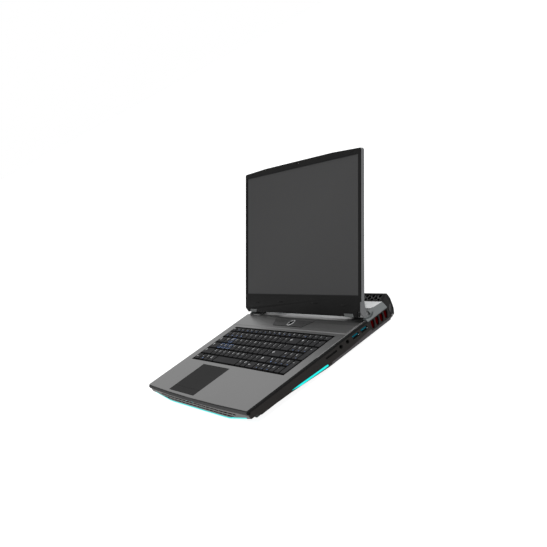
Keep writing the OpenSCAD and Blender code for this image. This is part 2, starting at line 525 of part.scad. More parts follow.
module numpad_keys() color(key_col) {
  for (i = [0 : 3]) cap(15 + i, 1, 4);
  for (r = [1 : 3], i = [0 : 2]) cap(15 + i, 1, r);
  cap(16, 1, 0); cap(17, 1, 0); cap(18, 1, 2, 2); cap(18, 1, 0, 2);
}
module wasd_keys() color([0.16, 0.17, 0.2]) { cap(2.5, 1, 3); for (i = [1 : 3]) cap(i + 0.75, 1, 2); }
module touchpad() color([0.21, 0.21, 0.21]) box([pad_x0, pad_y0, deck_z - 2], [pad_x0 + pad_w, pad_y0 + pad_d, deck_z - 0.3]);

bottom_cover();
deck_band();
top_case();
side_trim_left();
side_trim_right();
power_panel();
rear_spine_plate();
rear_housing();
top_vent_mesh();
rear_exhaust_grilles();
side_rail_left();
side_rail_right();
side_vent_left();
side_vent_right();
vent_glow_strips();
front_grille();
front_light_bar();
side_light_bars();
status_leds();
rubber_feet();
bottom_screws();
motherboard();
heat_spreader();
heat_pipes();
fin_stacks();
fan_housing_left();
fan_housing_right();
battery();
memory_modules();
storage_drive();
speakers();
keyboard_tray();
usb_ports();
audio_jacks();
card_reader();
rear_ports();
hinge_base_left();
hinge_base_right();
hinge_pins();
lid_back_cover();
lid_bezel();
display_panel();
webcam();
hinge_lid_left();
hinge_lid_right();
lid_end_caps();
fan_impeller_left();
fan_impeller_right();
touchpad();
power_button();
keys_function_row();
keys_number_row();
keys_tab_row();
keys_caps_row();
keys_shift_row();
keys_modifier_row();
spacebar();
arrow_keys();
numpad_keys();
wasd_keys();
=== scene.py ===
import bpy, bmesh, math, json
from mathutils import Vector, Matrix


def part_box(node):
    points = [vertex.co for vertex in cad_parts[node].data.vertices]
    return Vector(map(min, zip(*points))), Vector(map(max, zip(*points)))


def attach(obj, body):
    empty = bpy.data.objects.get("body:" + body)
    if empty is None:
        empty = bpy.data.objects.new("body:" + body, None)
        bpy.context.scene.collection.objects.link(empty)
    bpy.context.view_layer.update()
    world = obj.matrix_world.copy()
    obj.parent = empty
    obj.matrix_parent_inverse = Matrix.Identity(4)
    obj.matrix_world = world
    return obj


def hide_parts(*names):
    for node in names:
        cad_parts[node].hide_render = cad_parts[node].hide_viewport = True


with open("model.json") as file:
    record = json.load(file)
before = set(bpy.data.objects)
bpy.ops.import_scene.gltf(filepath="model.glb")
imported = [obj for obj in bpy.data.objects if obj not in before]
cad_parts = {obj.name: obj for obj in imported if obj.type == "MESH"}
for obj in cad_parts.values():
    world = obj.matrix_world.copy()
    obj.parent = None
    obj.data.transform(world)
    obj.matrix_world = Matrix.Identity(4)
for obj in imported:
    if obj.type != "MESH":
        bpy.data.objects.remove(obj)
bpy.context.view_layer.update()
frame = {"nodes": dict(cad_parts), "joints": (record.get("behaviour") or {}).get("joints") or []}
N = frame["nodes"]
MM = 0.001

# ------------------------------------------------------------ camera
cam_data = bpy.data.cameras.new("camera_main")
cam = bpy.data.objects.new("camera_main", cam_data)
bpy.context.scene.collection.objects.link(cam)
bpy.context.scene.camera = cam
cam_data.sensor_width = 36.0
cam_data.sensor_fit = "HORIZONTAL"
cam_data.lens = 924.68 / 547 * 36
cam_data.clip_start, cam_data.clip_end = 0.02, 50
_r = Vector((0.46185, 0.75204, -0.47024)).normalized()
_f = Vector((-0.88688, 0.39848, -0.23379))
_f = (_f - _r * _f.dot(_r)).normalized()
_u = _r.cross(_f).normalized()
cam.matrix_world = Matrix((( _r.x, _u.x, -_f.x, 1.36561), (_r.y, _u.y, -_f.y, -0.56855), (_r.z, _u.z, -_f.z, 0.47748), (0, 0, 0, 1)))

# ------------------------------------------------------------ materials
MATS = {}


def ramp(nt, fac, stops):
    r = nt.nodes.new("ShaderNodeValToRGB")
    el = r.color_ramp.elements
    el[0].position, el[0].color = stops[0][0], (*stops[0][1], 1)
    el[1].position, el[1].color = stops[-1][0], (*stops[-1][1], 1)
    for p, c in stops[1:-1]:
        e = el.new(p)
        e.color = (*c, 1)
    nt.links.new(fac, r.inputs[0])
    return r.outputs[0]


def math_node(nt, op, a, b=None, clamp=False):
    m = nt.nodes.new("ShaderNodeMath")
    m.operation = op
    m.use_clamp = clamp
    for i, v in enumerate((a, b)):
        if v is None:
            continue
        if isinstance(v, (int, float)):
            m.inputs[i].default_value = v
        else:
            nt.links.new(v, m.inputs[i])
    return m.outputs[0]


def surface(name, color, rough=0.5, metal=0.0, grain=3500, grain_bump=0.15, vary=0.12, cloud=18, brushed=None,
            coat=0.0, rough_vary=0.08, spec=0.5, emit=None, emit_strength=0.0, fleck=0.0):
    """A moulded, painted or anodised finish: slow colour drift, fine grain in the colour, roughness and bump."""
    m = bpy.data.materials.new(name)
    m.use_nodes = True
    nt = m.node_tree
    p = nt.nodes["Principled BSDF"]
    tc = nt.nodes.new("ShaderNodeTexCoord")
    mp = nt.nodes.new("ShaderNodeMapping")
    nt.links.new(tc.outputs["Object"], mp.inputs["Vector"])
    if brushed:
        mp.inputs["Scale"].default_value = brushed
    big = nt.nodes.new("ShaderNodeTexNoise")
    big.inputs["Scale"].default_value = cloud
    big.inputs["Detail"].default_value = 4
    nt.links.new(tc.outputs["Object"], big.inputs["Vector"])
    fine = nt.nodes.new("ShaderNodeTexNoise")
    fine.inputs["Scale"].default_value = grain
    fine.inputs["Detail"].default_value = 3
    fine.inputs["Roughness"].default_value = 0.6
    nt.links.new(mp.outputs["Vector"], fine.inputs["Vector"])
    c = color
    lo = tuple(max(0, x * (1 - vary)) for x in c)
    hi = tuple(min(1, x * (1 + vary)) for x in c)
    base = ramp(nt, big.outputs["Fac"], [(0.3, lo), (0.5, c), (0.7, hi)])
    g = ramp(nt, fine.outputs["Fac"], [(0.35, (1 - vary * 0.8,) * 3), (0.65, (1 + vary * 0.8,) * 3)])
    mx = nt.nodes.new("ShaderNodeMix")
    mx.data_type = "RGBA"
    mx.blend_type = "MULTIPLY"
    mx.inputs[0].default_value = 1.0
    nt.links.new(base, mx.inputs[6])
    nt.links.new(g, mx.inputs[7])
    out = mx.outputs[2]
    if fleck:
        vo = nt.nodes.new("ShaderNodeTexVoronoi")
        vo.inputs["Scale"].default_value = grain * 0.6
        nt.links.new(mp.outputs["Vector"], vo.inputs["Vector"])
        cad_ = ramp(nt, vo.outputs["Distance"], [(0.08, (1 + fleck,) * 3), (0.2, (1, 1, 1))])
        m2 = nt.nodes.new("ShaderNodeMix")
        m2.data_type = "RGBA"
        m2.blend_type = "MULTIPLY"
        m2.inputs[0].default_value = 1.0
        nt.links.new(out, m2.inputs[6])
        nt.links.new(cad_, m2.inputs[7])
        out = m2.outputs[2]
    nt.links.new(out, p.inputs["Base Color"])
    rr = math_node(nt, "MULTIPLY_ADD", big.outputs["Fac"], rough_vary)
    rn = rr.node
    rn.inputs[2].default_value = rough - rough_vary / 2
    r2 = math_node(nt, "MULTIPLY_ADD", fine.outputs["Fac"], rough_vary)
    r2.node.inputs[2].default_value = -rough_vary / 2
    nt.links.new(math_node(nt, "ADD", rr, r2, True), p.inputs["Roughness"])
    p.inputs["Metallic"].default_value = metal
    p.inputs["Specular IOR Level"].default_value = spec
    if coat:
        p.inputs["Coat Weight"].default_value = coat
        p.inputs["Coat Roughness"].default_value = 0.12
    if grain_bump:
        b = nt.nodes.new("ShaderNodeBump")
        b.inputs["Strength"].default_value = grain_bump
        b.inputs["Distance"].default_value = 0.00004
        nt.links.new(fine.outputs["Fac"], b.inputs["Height"])
        nt.links.new(b.outputs["Normal"], p.inputs["Normal"])
    if emit:
        e = ramp(nt, big.outputs["Fac"], [(0.3, tuple(x * 0.92 for x in emit)), (0.7, emit)])
        nt.links.new(e, p.inputs["Emission Color"])
        p.inputs["Emission Strength"].default_value = emit_strength
    MATS[name] = m
    return m


def zone(name, color, nx=None, ny=None, nz=None, xlim=None, ymax=None, zmax=None, ramp_y=None, ymin=None):
    """Another colour on the faces of a material whose direction or height is within the given limits."""
    if ymin is not None:
        ymax = (ymin, 1, False)
    nt = MATS[name].node_tree
    p = nt.nodes["Principled BSDF"]
    src = p.inputs["Base Color"].links[0].from_socket
    tc = nt.nodes.new("ShaderNodeTexCoord")
    out = None
    for vec, keys in (("Normal", (nx, ny, nz)), ("Object", (xlim, ymax, zmax))):
        sep = nt.nodes.new("ShaderNodeSeparateXYZ")
        nt.links.new(tc.outputs[vec], sep.inputs[0])
        for k, lim in enumerate(keys):
            if lim is None:
                continue
            v = sep.outputs[k]
            lo, hi, mirror = lim
            if mirror:
                v = math_node(nt, "ABSOLUTE", v)
            m = math_node(nt, "MULTIPLY", math_node(nt, "GREATER_THAN", v, lo), math_node(nt, "LESS_THAN", v, hi))
            out = m if out is None else math_node(nt, "MULTIPLY", out, m)
    if ramp_y:
        # below a line that climbs with y: (y0, z0, y1, z1)
        y0, z0, y1, z1 = ramp_y
        slope = (z1 - z0) / (y1 - y0)
        line = math_node(nt, "MULTIPLY", sep.outputs[1], slope)
        line = math_node(nt, "ADD", line, z0 - slope * y0)
        out = math_node(nt, "MULTIPLY", out, math_node(nt, "LESS_THAN", sep.outputs[2], line))
    noise = nt.nodes.new("ShaderNodeTexNoise")
    noise.inputs["Scale"].default_value = 2600
    nt.links.new(tc.outputs["Object"], noise.inputs["Vector"])
    other = ramp(nt, noise.outputs["Fac"], [(0.35, tuple(c * 0.92 for c in color)), (0.65, tuple(c * 1.08 for c in color))])
    mx = nt.nodes.new("ShaderNodeMix")
    mx.data_type = "RGBA"
    nt.links.new(out, mx.inputs[0])
    nt.links.new(src, mx.inputs[6])
    nt.links.new(other, mx.inputs[7])
    nt.links.new(mx.outputs[2], p.inputs["Base Color"])


surface("shell_plastic", (0.0140, 0.0127, 0.0118), 0.6, grain=2600, grain_bump=0.5, vary=0.10, spec=0.1)
# painted light: faces turned down and outwards, and the low side band below a sloping line, get a lighter copy of the
# shell colour that stands in for bounce light from the floor
zone("shell_plastic", (0.043, 0.039, 0.041), nx=(0.15, 1.1, True), nz=(-0.999, -0.2, False))
zone("shell_plastic", (0.043, 0.039, 0.041), nx=(0.8, 1.1, True), ymax=(0.004, 0.0521, False), ramp_y=(0.004, 0.0089, 0.052, 0.0125))
surface("shell_chamfer", (0.062, 0.058, 0.059), 0.5, grain=2600, grain_bump=0.4, vary=0.10, spec=0.4)
surface("shell_dark", (0.016, 0.0155, 0.015), 0.5, grain=2600, grain_bump=0.5, vary=0.12, spec=0.4)
surface("band_paint", (0.052, 0.052, 0.0525), 0.6, grain=4200, grain_bump=0.2, vary=0.08, spec=0.0)
zone("band_paint", (0.060, 0.060, 0.0605), ny=(-1.1, -0.6, False))
zone("band_paint", (0.012, 0.012, 0.012), nx=(0.6, 1.1, True))
surface("deck_anodised", (0.15, 0.15, 0.15), 0.34, metal=1.0, grain=5200, grain_bump=0.22, vary=0.05, cloud=9, fleck=0.25, spec=0.3)
zone("deck_anodised", (0.012, 0.012, 0.012), nx=(0.6, 1.1, True), nz=(-0.5, 0.5, False))
zone("deck_anodised", (0.04, 0.04, 0.0405), ny=(-1.1, -0.6, False), nz=(-0.5, 0.5, False))
# painted highlight: the rounded side edges of the deck, on its rear part, get a brighter metal colour that stands in
# for the light they catch
zone("deck_anodised", (0.27, 0.27, 0.27), nx=(0.3, 0.96, True), nz=(0.3, 0.97, False), xlim=(0.19, 1, True), ymin=-0.05)
# painted shadow of the lid: the deck top is stepped darker towards the hinge, from the centre-left rightwards
zone("deck_anodised", (0.105, 0.105, 0.105), nz=(0.9, 1.1, False), xlim=(-0.07, 1, False), ymin=0.034)
zone("deck_anodised", (0.07, 0.07, 0.07), nz=(0.9, 1.1, False), xlim=(-0.04, 1, False), ymin=0.0405)
zone("deck_anodised", (0.045, 0.045, 0.045), nz=(0.9, 1.1, False), xlim=(0.0, 1, False), ymin=0.046)
surface("panel_anodised", (0.078, 0.078, 0.078), 0.34, metal=1.0, grain=5200, grain_bump=0.2, vary=0.06, spec=0.3)
surface("spine_silver", (0.66, 0.67, 0.675), 0.3, metal=0.15, grain=4200, grain_bump=0.12, vary=0.03, coat=0.3)
# painted shade under the lid: the front of the silver spine is darker, near black at the trough ends and in the gap
# along its front edge
zone("spine_silver", (0.38, 0.385, 0.388), ymax=(-1, 0.0625, False))
zone("spine_silver", (0.006, 0.006, 0.006), ymax=(-1, 0.0625, False), xlim=(0.136, 1, True))
zone("spine_silver", (0.02, 0.02, 0.02), ymax=(-1, 0.0545, False))
surface("rail_slate", (0.084, 0.0925, 0.094), 0.42, metal=0.1, grain=4200, grain_bump=0.18, vary=0.06)
surface("housing_plastic", (0.013, 0.0128, 0.0125), 0.5, grain=2600, grain_bump=0.4, vary=0.14, spec=0.1)
# painted light: a lighter band on the side faces stands in for light on a facet of the housing, ended behind by a band
# of the plain dark colour
zone("housing_plastic", (0.045, 0.043, 0.0435), nx=(0.8, 1.1, True), zmax=(0.0122, 0.026, False), ramp_y=(0.0924, 0.0167, 0.0981, 0.02475))
zone("housing_plastic", (0.016, 0.0155, 0.0155), nx=(0.8, 1.1, True), zmax=(0.0122, 0.026, False), ramp_y=(0.0960, 0.0167, 0.1017, 0.02475))
# painted light: the housing's lower chamfer, turned down and outwards, gets a lighter copy of its colour
zone("housing_plastic", (0.10, 0.097, 0.098), nx=(0.2, 0.97, True), nz=(-0.99, -0.2, False))
# painted highlight: a small bright spot on the side face just above the lower chamfer
zone("housing_plastic", (0.16, 0.157, 0.158), nx=(0.6, 1.1, True), ymax=(0.0915, 0.0972, False), zmax=(0.0088, 0.0112, False))
# painted shade: the rear corner of the side faces, below a sloping line, is darkened to near black
zone("housing_plastic", (0.0035, 0.0035, 0.0038), xlim=(0.1925, 1, True), ramp_y=(0.0985, 0.012, 0.1017, 0.025))
surface("fascia_grey", (0.110, 0.105, 0.103), 0.45, metal=0.1, spec=0.1, grain=4200, grain_bump=0.2, vary=0.08)
# painted shade in the slots: the rails' faces turned up and down, the walls of the slots, are near black
zone("fascia_grey", (0.008, 0.008, 0.008), nz=(0.5, 1.1, False))
zone("fascia_grey", (0.008, 0.008, 0.008), nz=(-1.1, -0.5, False))
surface("grille_black", (0.006, 0.006, 0.006), 0.55, grain=3000, grain_bump=0.4, vary=0.2, spec=0.03)
surface("mesh_grey", (0.13, 0.131, 0.131), 0.5, grain=3000, grain_bump=0.3, vary=0.15, spec=0.1)
surface("lid_anodised", (0.085, 0.087, 0.09), 0.42, metal=0.2, grain=5200, grain_bump=0.2, vary=0.06)
# painted shade: the lid's lower faces turned towards the front, below the hinge height, are near black
zone("lid_anodised", (0.006, 0.006, 0.006), ny=(-1.1, -0.1, False), xlim=(-1, 0.1927, True), zmax=(-1, 0.041, False))
surface("bezel_plastic", (0.0085, 0.0085, 0.0085), 0.6, grain=3800, grain_bump=0.35, vary=0.15, spec=0.05)
surface("screen_matte", (0.0437, 0.0437, 0.0443), 0.7, grain=6500, grain_bump=0.12, vary=0.03, cloud=4, spec=0.12)
surface("screen_edge", (0.012, 0.012, 0.013), 0.5, grain=6500, grain_bump=0.1, vary=0.05, spec=0.15)
surface("key_plastic", (0.025, 0.025, 0.026), 0.6, grain=4200, grain_bump=0.5, vary=0.12, spec=0.02)
surface("key_side", (0.007, 0.007, 0.0074), 0.6, grain=4200, grain_bump=0.4, vary=0.12, spec=0.03)
surface("tray_black", (0.004, 0.004, 0.004), 0.7, grain=3000, grain_bump=0.4, vary=0.15, spec=0.1)
surface("legend_grey", (0.33, 0.335, 0.34), 0.5, grain=6000, grain_bump=0.05, vary=0.05)
surface("legend_blue", (0.045, 0.10, 0.24), 0.5, grain=6000, grain_bump=0.05, vary=0.05, emit=(0.05, 0.2, 0.7), emit_strength=0.03)
surface("pad_surface", (0.031, 0.031, 0.031), 0.6, spec=0.0, grain=5200, grain_bump=0.15, vary=0.04, cloud=8)
surface("ring_metal", (0.60, 0.605, 0.61), 0.4, metal=0.2, grain=3000, grain_bump=0.04, vary=0.03, brushed=(1, 1, 60))
surface("button_black", (0.02, 0.02, 0.021), 0.2, grain=4000, grain_bump=0.05, vary=0.1, coat=0.6)
surface("steel", (0.5, 0.5, 0.51), 0.3, metal=1.0, grain=2000, grain_bump=0.1, vary=0.08, brushed=(1, 12, 12))
surface("steel_dark", (0.16, 0.16, 0.165), 0.35, metal=0.8, grain=2000, grain_bump=0.1, vary=0.1)
surface("hinge_metal", (0.10, 0.105, 0.105), 0.36, metal=0.5, grain=4200, grain_bump=0.15, vary=0.07)
surface("feet_rubber", (0.018, 0.018, 0.018), 0.8, grain=1400, grain_bump=0.8, vary=0.2, spec=0.2)
surface("board_green", (0.01, 0.055, 0.03), 0.35, grain=900, grain_bump=0.3, vary=0.25, coat=0.3)
surface("copper_metal", (0.72, 0.36, 0.22), 0.28, metal=1.0, grain=1800, grain_bump=0.1, vary=0.1, brushed=(1, 8, 8))
surface("fin_metal", (0.7, 0.71, 0.73), 0.3, metal=1.0, grain=1800, grain_bump=0.1, vary=0.06)
surface("inner_black", (0.028, 0.028, 0.03), 0.5, grain=2600, grain_bump=0.4, vary=0.15)
# painted glow: the blue socket tongues get a faint emission although no light sits in them
surface("usb_tongue", (0.0, 0.10, 0.14), 0.45, grain=3000, grain_bump=0.1, vary=0.08, spec=0.05, emit=(0.0, 0.16, 0.22), emit_strength=0.12)
surface("gold_contact", (0.85, 0.6, 0.22), 0.25, metal=1.0, grain=3000, grain_bump=0.05, vary=0.05)
surface("lens_glass", (0.004, 0.004, 0.007), 0.06, grain=3000, grain_bump=0.0, vary=0.1, coat=1.0)
surface("cyan_glow", (0.004, 0.42, 0.40), 0.4, grain=1500, grain_bump=0.05, vary=0.04, spec=0.2, emit=(0.0, 0.88, 0.82), emit_strength=0.5)
surface("cyan_dim", (0.02, 0.3, 0.3), 0.4, grain=1500, grain_bump=0.05, vary=0.05, emit=(0.1, 0.72, 0.7), emit_strength=0.6)
surface("red_glow", (0.022, 0.0, 0.0), 0.6, grain=700, grain_bump=0.3, vary=0.3, spec=0.0, emit=(0.13, 0.0, 0.0), emit_strength=0.2)
surface("red_trim", (0.15, 0.02, 0.03), 0.5, grain=3000, grain_bump=0.2, vary=0.1)
surface("button_face", (0.006, 0.006, 0.006), 0.5, grain=4000, grain_bump=0.1, vary=0.08, spec=0.0)
surface("collar_black", (0.005, 0.005, 0.005), 0.5, grain=3000, grain_bump=0.2, vary=0.1, spec=0.03)
surface("card_blank", (0.006, 0.006, 0.006), 0.5, grain=3000, grain_bump=0.3, vary=0.12, spec=0.05)
# painted shade: near black for the sheets laid in the trough's ends, where there is only shadow
surface("trough_shade_black", (0.004, 0.004, 0.0042), 0.5, grain=3000, grain_bump=0.3, vary=0.12, spec=0.02)

PLAN = {
    "bottom_cover": "shell_plastic", "deck_band": "band_paint", "top_case": "deck_anodised", "side_trim_left": "shell_plastic",
    "side_trim_right": "shell_plastic", "power_panel": "panel_anodised", "rear_spine_plate": "spine_silver",
    "rear_housing": "housing_plastic", "top_vent_mesh": "grille_black", "rear_exhaust_grilles": "grille_black",
    "side_rail_left": "rail_slate", "side_rail_right": "rail_slate", "side_vent_left": "shell_plastic", "side_vent_right": "shell_plastic",
    "vent_glow_strips": "red_glow", "front_grille": "fascia_grey", "front_light_bar": "cyan_glow", "side_light_bars": "cyan_glow",
    "status_leds": "cyan_dim", "rubber_feet": "feet_rubber", "bottom_screws": "steel", "motherboard": "board_green",
    "heat_spreader": "copper_metal", "heat_pipes": "copper_metal", "fin_stacks": "fin_metal", "fan_housing_left": "inner_black",
    "fan_housing_right": "inner_black", "battery": "inner_black", "memory_modules": "board_green", "storage_drive": "steel",
    "speakers": "inner_black", "keyboard_tray": "tray_black", "usb_ports": "steel", "audio_jacks": "collar_black",
    "card_reader": "steel_dark", "rear_ports": "inner_black", "hinge_base_left": "hinge_metal", "hinge_base_right": "hinge_metal",
    "hinge_pins": "steel", "lid_back_cover": "lid_anodised", "lid_bezel": "bezel_plastic", "display_panel": "screen_matte",
    "webcam": "lens_glass", "hinge_lid_left": "hinge_metal", "hinge_lid_right": "hinge_metal", "lid_end_caps": "lid_anodised",
    "fan_impeller_left": "inner_black", "fan_impeller_right": "inner_black", "touchpad": "pad_surface", "power_button": "ring_metal",
}
for n in N:
    mat = MATS[PLAN.get(n, "key_plastic")]
    o = N[n]
    if not o.material_slots:
        o.data.materials.append(mat)
    for s in o.material_slots:
        s.material = mat

# softened edges on the CAD pieces that stay visible
BEVEL = {"bottom_cover": 0.45, "deck_band": 0.45, "top_case": 0.55, "side_trim_left": 0.3, "side_trim_right": 0.3, "power_panel": 0.3,
         "rear_spine_plate": 0.3, "rear_housing": 0.7, "side_rail_left": 0.5, "side_rail_right": 0.5, "side_vent_left": 0.25,
         "side_vent_right": 0.25, "rubber_feet": 0.5, "lid_back_cover": 0.6, "lid_bezel": 0.35, "hinge_lid_left": 0.4,
         "hinge_lid_right": 0.4, "hinge_base_left": 0.5, "hinge_base_right": 0.5, "lid_end_caps": 0.5, "rear_exhaust_grilles": 0.2}
for n, w in BEVEL.items():
    o = N[n]
    m = o.modifiers.new("weld", "WELD")
    m.merge_threshold = 1e-6
    m = o.modifiers.new("planar", "DECIMATE")
    m.decimate_type = "DISSOLVE"
    m.angle_limit = math.radians(1.0)
    m = o.modifiers.new("edges", "BEVEL")
    m.width = w * MM
    m.segments = 2
    m.limit_method = "ANGLE"
    m.angle_limit = math.radians(28)
    m.use_clamp_overlap = True
    m.harden_normals = False

# ------------------------------------------------------------ mesh helpers (all in millimetres)
class Piece:
    """Collects the vertices and faces of one piece."""

    def __init__(self):
        self.v, self.f, self.m = [], [], []

    def add(self, pts):
        i = len(self.v)
        self.v.extend(pts)
        return i

    def face(self, ids, m=0):
        self.f.append(tuple(ids))
        self.m.append(m)

    def loft(self, rings, ms=0, cap0=True, cap1=True):
        idx = [self.add(r) for r in rings]
        n = len(rings[0])
        pick = (lambda k: ms[k]) if isinstance(ms, (list, tuple)) else (lambda k: ms)
        for k in range(len(rings) - 1):
            a, b = idx[k], idx[k + 1]
            for i in range(n):
                j = (i + 1) % n
                self.face((a + i, a + j, b + j, b + i), pick(k))
        if cap0:
            self.face([idx[0] + i for i in reversed(range(n))], pick(0))
        if cap1:
            self.face([idx[-1] + i for i in range(n)], pick(len(rings) - 2))

    def slab(self, poly, lift0, lift1, m=0):
        """A closed prism between two liftings of a 2D outline."""
        self.loft([[lift0(*p) for p in poly], [lift1(*p) for p in poly]], m)

    def box(self, a, b, m=0):
        (x0, y0, z0), (x1, y1, z1) = a, b
        self.loft([[(x0, y0, z0), (x1, y0, z0), (x1, y1, z0), (x0, y1, z0)], [(x0, y0, z1), (x1, y0, z1), (x1, y1, z1), (x0, y1, z1)]], m)

    def lathe(self, profile, place, ms=0, n=40, closed=False):
        """profile is [(r, h)]; place(r cos, r sin, h) gives the point. Closed profiles make a ring."""
        pick = (lambda k: ms[k]) if isinstance(ms, (list, tuple)) else (lambda k: ms)
        rings = []
        for r, h in profile:
            rings.append([place(r * math.cos(2 * math.pi * i / n), r * math.sin(2 * math.pi * i / n), h) for i in range(n)])
        if closed:
            idx = [self.add(r) for r in rings]
            for k in range(len(rings)):
                a, b = idx[k], idx[(k + 1) % len(rings)]
                for i in range(n):
                    j = (i + 1) % n
                    self.face((a + i, a + j, b + j, b + i), pick(k))
        else:
            self.loft(rings, ms)

    def make(self, name, mats, body, slot, sharp=32, bevel=0.0, merge=1e-4, segments=2):
        me = bpy.data.meshes.new(name)
        me.from_pydata([(x * MM, y * MM, z * MM) for x, y, z in self.v], [], self.f)
        for mm in mats:
            me.materials.append(MATS[mm])
        for i, k in enumerate(self.m):
            me.polygons[i].material_index = k
        bm = bmesh.new()
        bm.from_mesh(me)
        bmesh.ops.remove_doubles(bm, verts=bm.verts, dist=merge * MM)
        bmesh.ops.dissolve_degenerate(bm, edges=bm.edges, dist=1e-5 * MM)
        bmesh.ops.recalc_face_normals(bm, faces=bm.faces)
        if bevel:
            es = [e for e in bm.edges if len(e.link_faces) == 2 and e.calc_face_angle() > math.radians(28)]
            bmesh.ops.bevel(bm, geom=es, offset=bevel * MM, offset_type="OFFSET", segments=segments, profile=0.5, affect="EDGES", clamp_overlap=True)
        for fc in bm.faces:
            fc.smooth = True
        for e in bm.edges:
            e.smooth = not (len(e.link_faces) != 2 or e.calc_face_angle() > math.radians(sharp))
        bm.to_mesh(me)
        bm.free()
        ob = bpy.data.objects.new(name, me)
        bpy.context.scene.collection.objects.link(ob)
        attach(ob, body)
        return ob


def rrect(x0, x1, y0, y1, r, seg=3):
    """A rounded rectangle, counter-clockwise."""
    out = []
    for cx, cy, a0 in ((x1 - r, y0 + r, -90), (x1 - r, y1 - r, 0), (x0 + r, y1 - r, 90), (x0 + r, y0 + r, 180)):
        for k in range(seg + 1):
            a = math.radians(a0 + 90 * k / seg)
            out.append((cx + r * math.cos(a), cy + r * math.sin(a)))
    return out


def mm_box(node):
    lo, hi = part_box(node)
    return tuple(c / MM for c in lo), tuple(c / MM for c in hi)


def loose(node):
    """Boxes, in millimetres, of the separate solids of a CAD node."""
    me = N[node].data
    key, ids = {}, []
    for v in me.vertices:
        ids.append(key.setdefault((round(v.co.x, 6), round(v.co.y, 6), round(v.co.z, 6)), len(key)))
    par = list(range(len(key)))

    def find(a):
        while par[a] != a:
            par[a] = par[par[a]]
            a = par[a]
        return a

    for p in me.polygons:
        vs = [ids[i] for i in p.vertices]
        for b in vs[1:]:
            par[find(vs[0])] = find(b)
    out = {}
    for v, i in zip(me.vertices, ids):
        c = (v.co.x / MM, v.co.y / MM, v.co.z / MM)
        lo, hi = out.setdefault(find(i), (list(c), list(c)))
        for k in range(3):
            lo[k], hi[k] = min(lo[k], c[k]), max(hi[k], c[k])
    return sorted(((tuple(a), tuple(b)) for a, b in out.values()), key=lambda t: (-round(t[0][1]), t[0][0]))


# the lid's own coordinates: x, y (rearwards through the lid), z (up the lid) from the hinge axis
HJ = next(j for j in frame["joints"] if j["name"] == "lid_hinge")
HY, HZ = 61.0, 41.2
LEAN = math.radians(32)
CL, SL = math.cos(LEAN), math.sin(LEAN)


def L(x, y, z):
    return (x, HY + y * CL + z * SL, HZ - y * SL + z * CL)


# ------------------------------------------------------------ keys
STROKES = {}


def glyph(ch):
    """The flat outline faces of one generic sans character, about 1 unit high."""
    if ch in STROKES:
        return STROKES[ch]
    cu = bpy.data.curves.new("glyph", "FONT")
    cu.body = ch
    cu.size = 1.0
    cu.resolution_u = 2
    cu.offset = 0.012
    ob = bpy.data.objects.new("glyph", cu)
    bpy.context.scene.collection.objects.link(ob)
    dg = bpy.context.evaluated_depsgraph_get()
    me = ob.evaluated_get(dg).to_mesh()
    vs = [(v.co.x, v.co.y) for v in me.vertices]
    fs = [tuple(p.vertices) for p in me.polygons]
    ob.evaluated_get(dg).to_mesh_clear()
    bpy.data.objects.remove(ob)
    bpy.data.curves.remove(cu)
    STROKES[ch] = (vs, fs)
    return STROKES[ch]


def stamp(pc, ch, x, y, z, size, m):
    """A closed, very thin raised character on a key top."""
    vs, fs = glyph(ch)
    if not vs:
        return
    n = len(vs)
    a = pc.add([(x + u * size, y + w * size, z) for u, w in vs])
    b = pc.add([(x + u * size, y + w * size, z - 0.3) for u, w in vs])
    count = {}
    for f in fs:
        pc.face([a + i for i in f], m)
        pc.face([b + i for i in reversed(f)], m)
        for i in range(len(f)):
            e = (f[i], f[(i + 1) % len(f)])
            count[e] = count.get(e, 0) + 1
    for (i, j) in count:
        if (j, i) not in count:
            pc.face((a + j, a + i, b + i, b + j), m)


def flat(pc, poly, z, m, depth=0.3):
    pc.slab(poly, lambda x, y: (x, y, z - depth), lambda x, y: (x, y, z), m)


def icon(pc, kind, x, y, z, s, m):
    """Small generic key symbols."""
    if kind == "bar":
        flat(pc, [(x, y), (x + s, y), (x + s, y + s * 0.22), (x, y + s * 0.22)], z, m)
    elif kind in ("left", "right", "up", "down"):
        c = {"left": [(0, 0.5), (0.55, 0), (0.55, 0.36), (1, 0.36), (1, 0.64), (0.55, 0.64), (0.55, 1)],
             "right": [(1, 0.5), (0.45, 1), (0.45, 0.64), (0, 0.64), (0, 0.36), (0.45, 0.36), (0.45, 0)],
             "up": [(0.5, 1), (0, 0.45), (0.36, 0.45), (0.36, 0), (0.64, 0), (0.64, 0.45), (1, 0.45)],
             "down": [(0.5, 0), (1, 0.55), (0.64, 0.55), (0.64, 1), (0.36, 1), (0.36, 0.55), (0, 0.55)]}[kind]
        flat(pc, [(x + u * s, y + w * s) for u, w in c], z, m)
    elif kind == "square":
        t = s * 0.2
        flat(pc, [(x, y), (x + s, y), (x + s, y + t), (x, y + t)], z, m)
        flat(pc, [(x, y + s - t), (x + s, y + s - t), (x + s, y + s), (x, y + s)], z, m)
        flat(pc, [(x, y + t), (x + t, y + t), (x + t, y + s - t), (x, y + s - t)], z, m)
        flat(pc, [(x + s - t, y + t), (x + s, y + t), (x + s, y + s - t), (x + s - t, y + s - t)], z, m)
    elif kind == "dot":
        flat(pc, [(x + s / 2 + s / 2 * math.cos(k * math.pi / 5), y + s / 2 + s / 2 * math.sin(k * math.pi / 5)) for k in range(10)], z, m)
    elif kind == "lines":
        for k in range(3):
            w = s * (1 - 0.22 * k)
            flat(pc, [(x, y + k * s * 0.38), (x + w, y + k * s * 0.38), (x + w, y + k * s * 0.38 + s * 0.18), (x, y + k * s * 0.38 + s * 0.18)], z, m)


ICONS = {"bar", "left", "right", "up", "down", "square", "dot", "lines"}


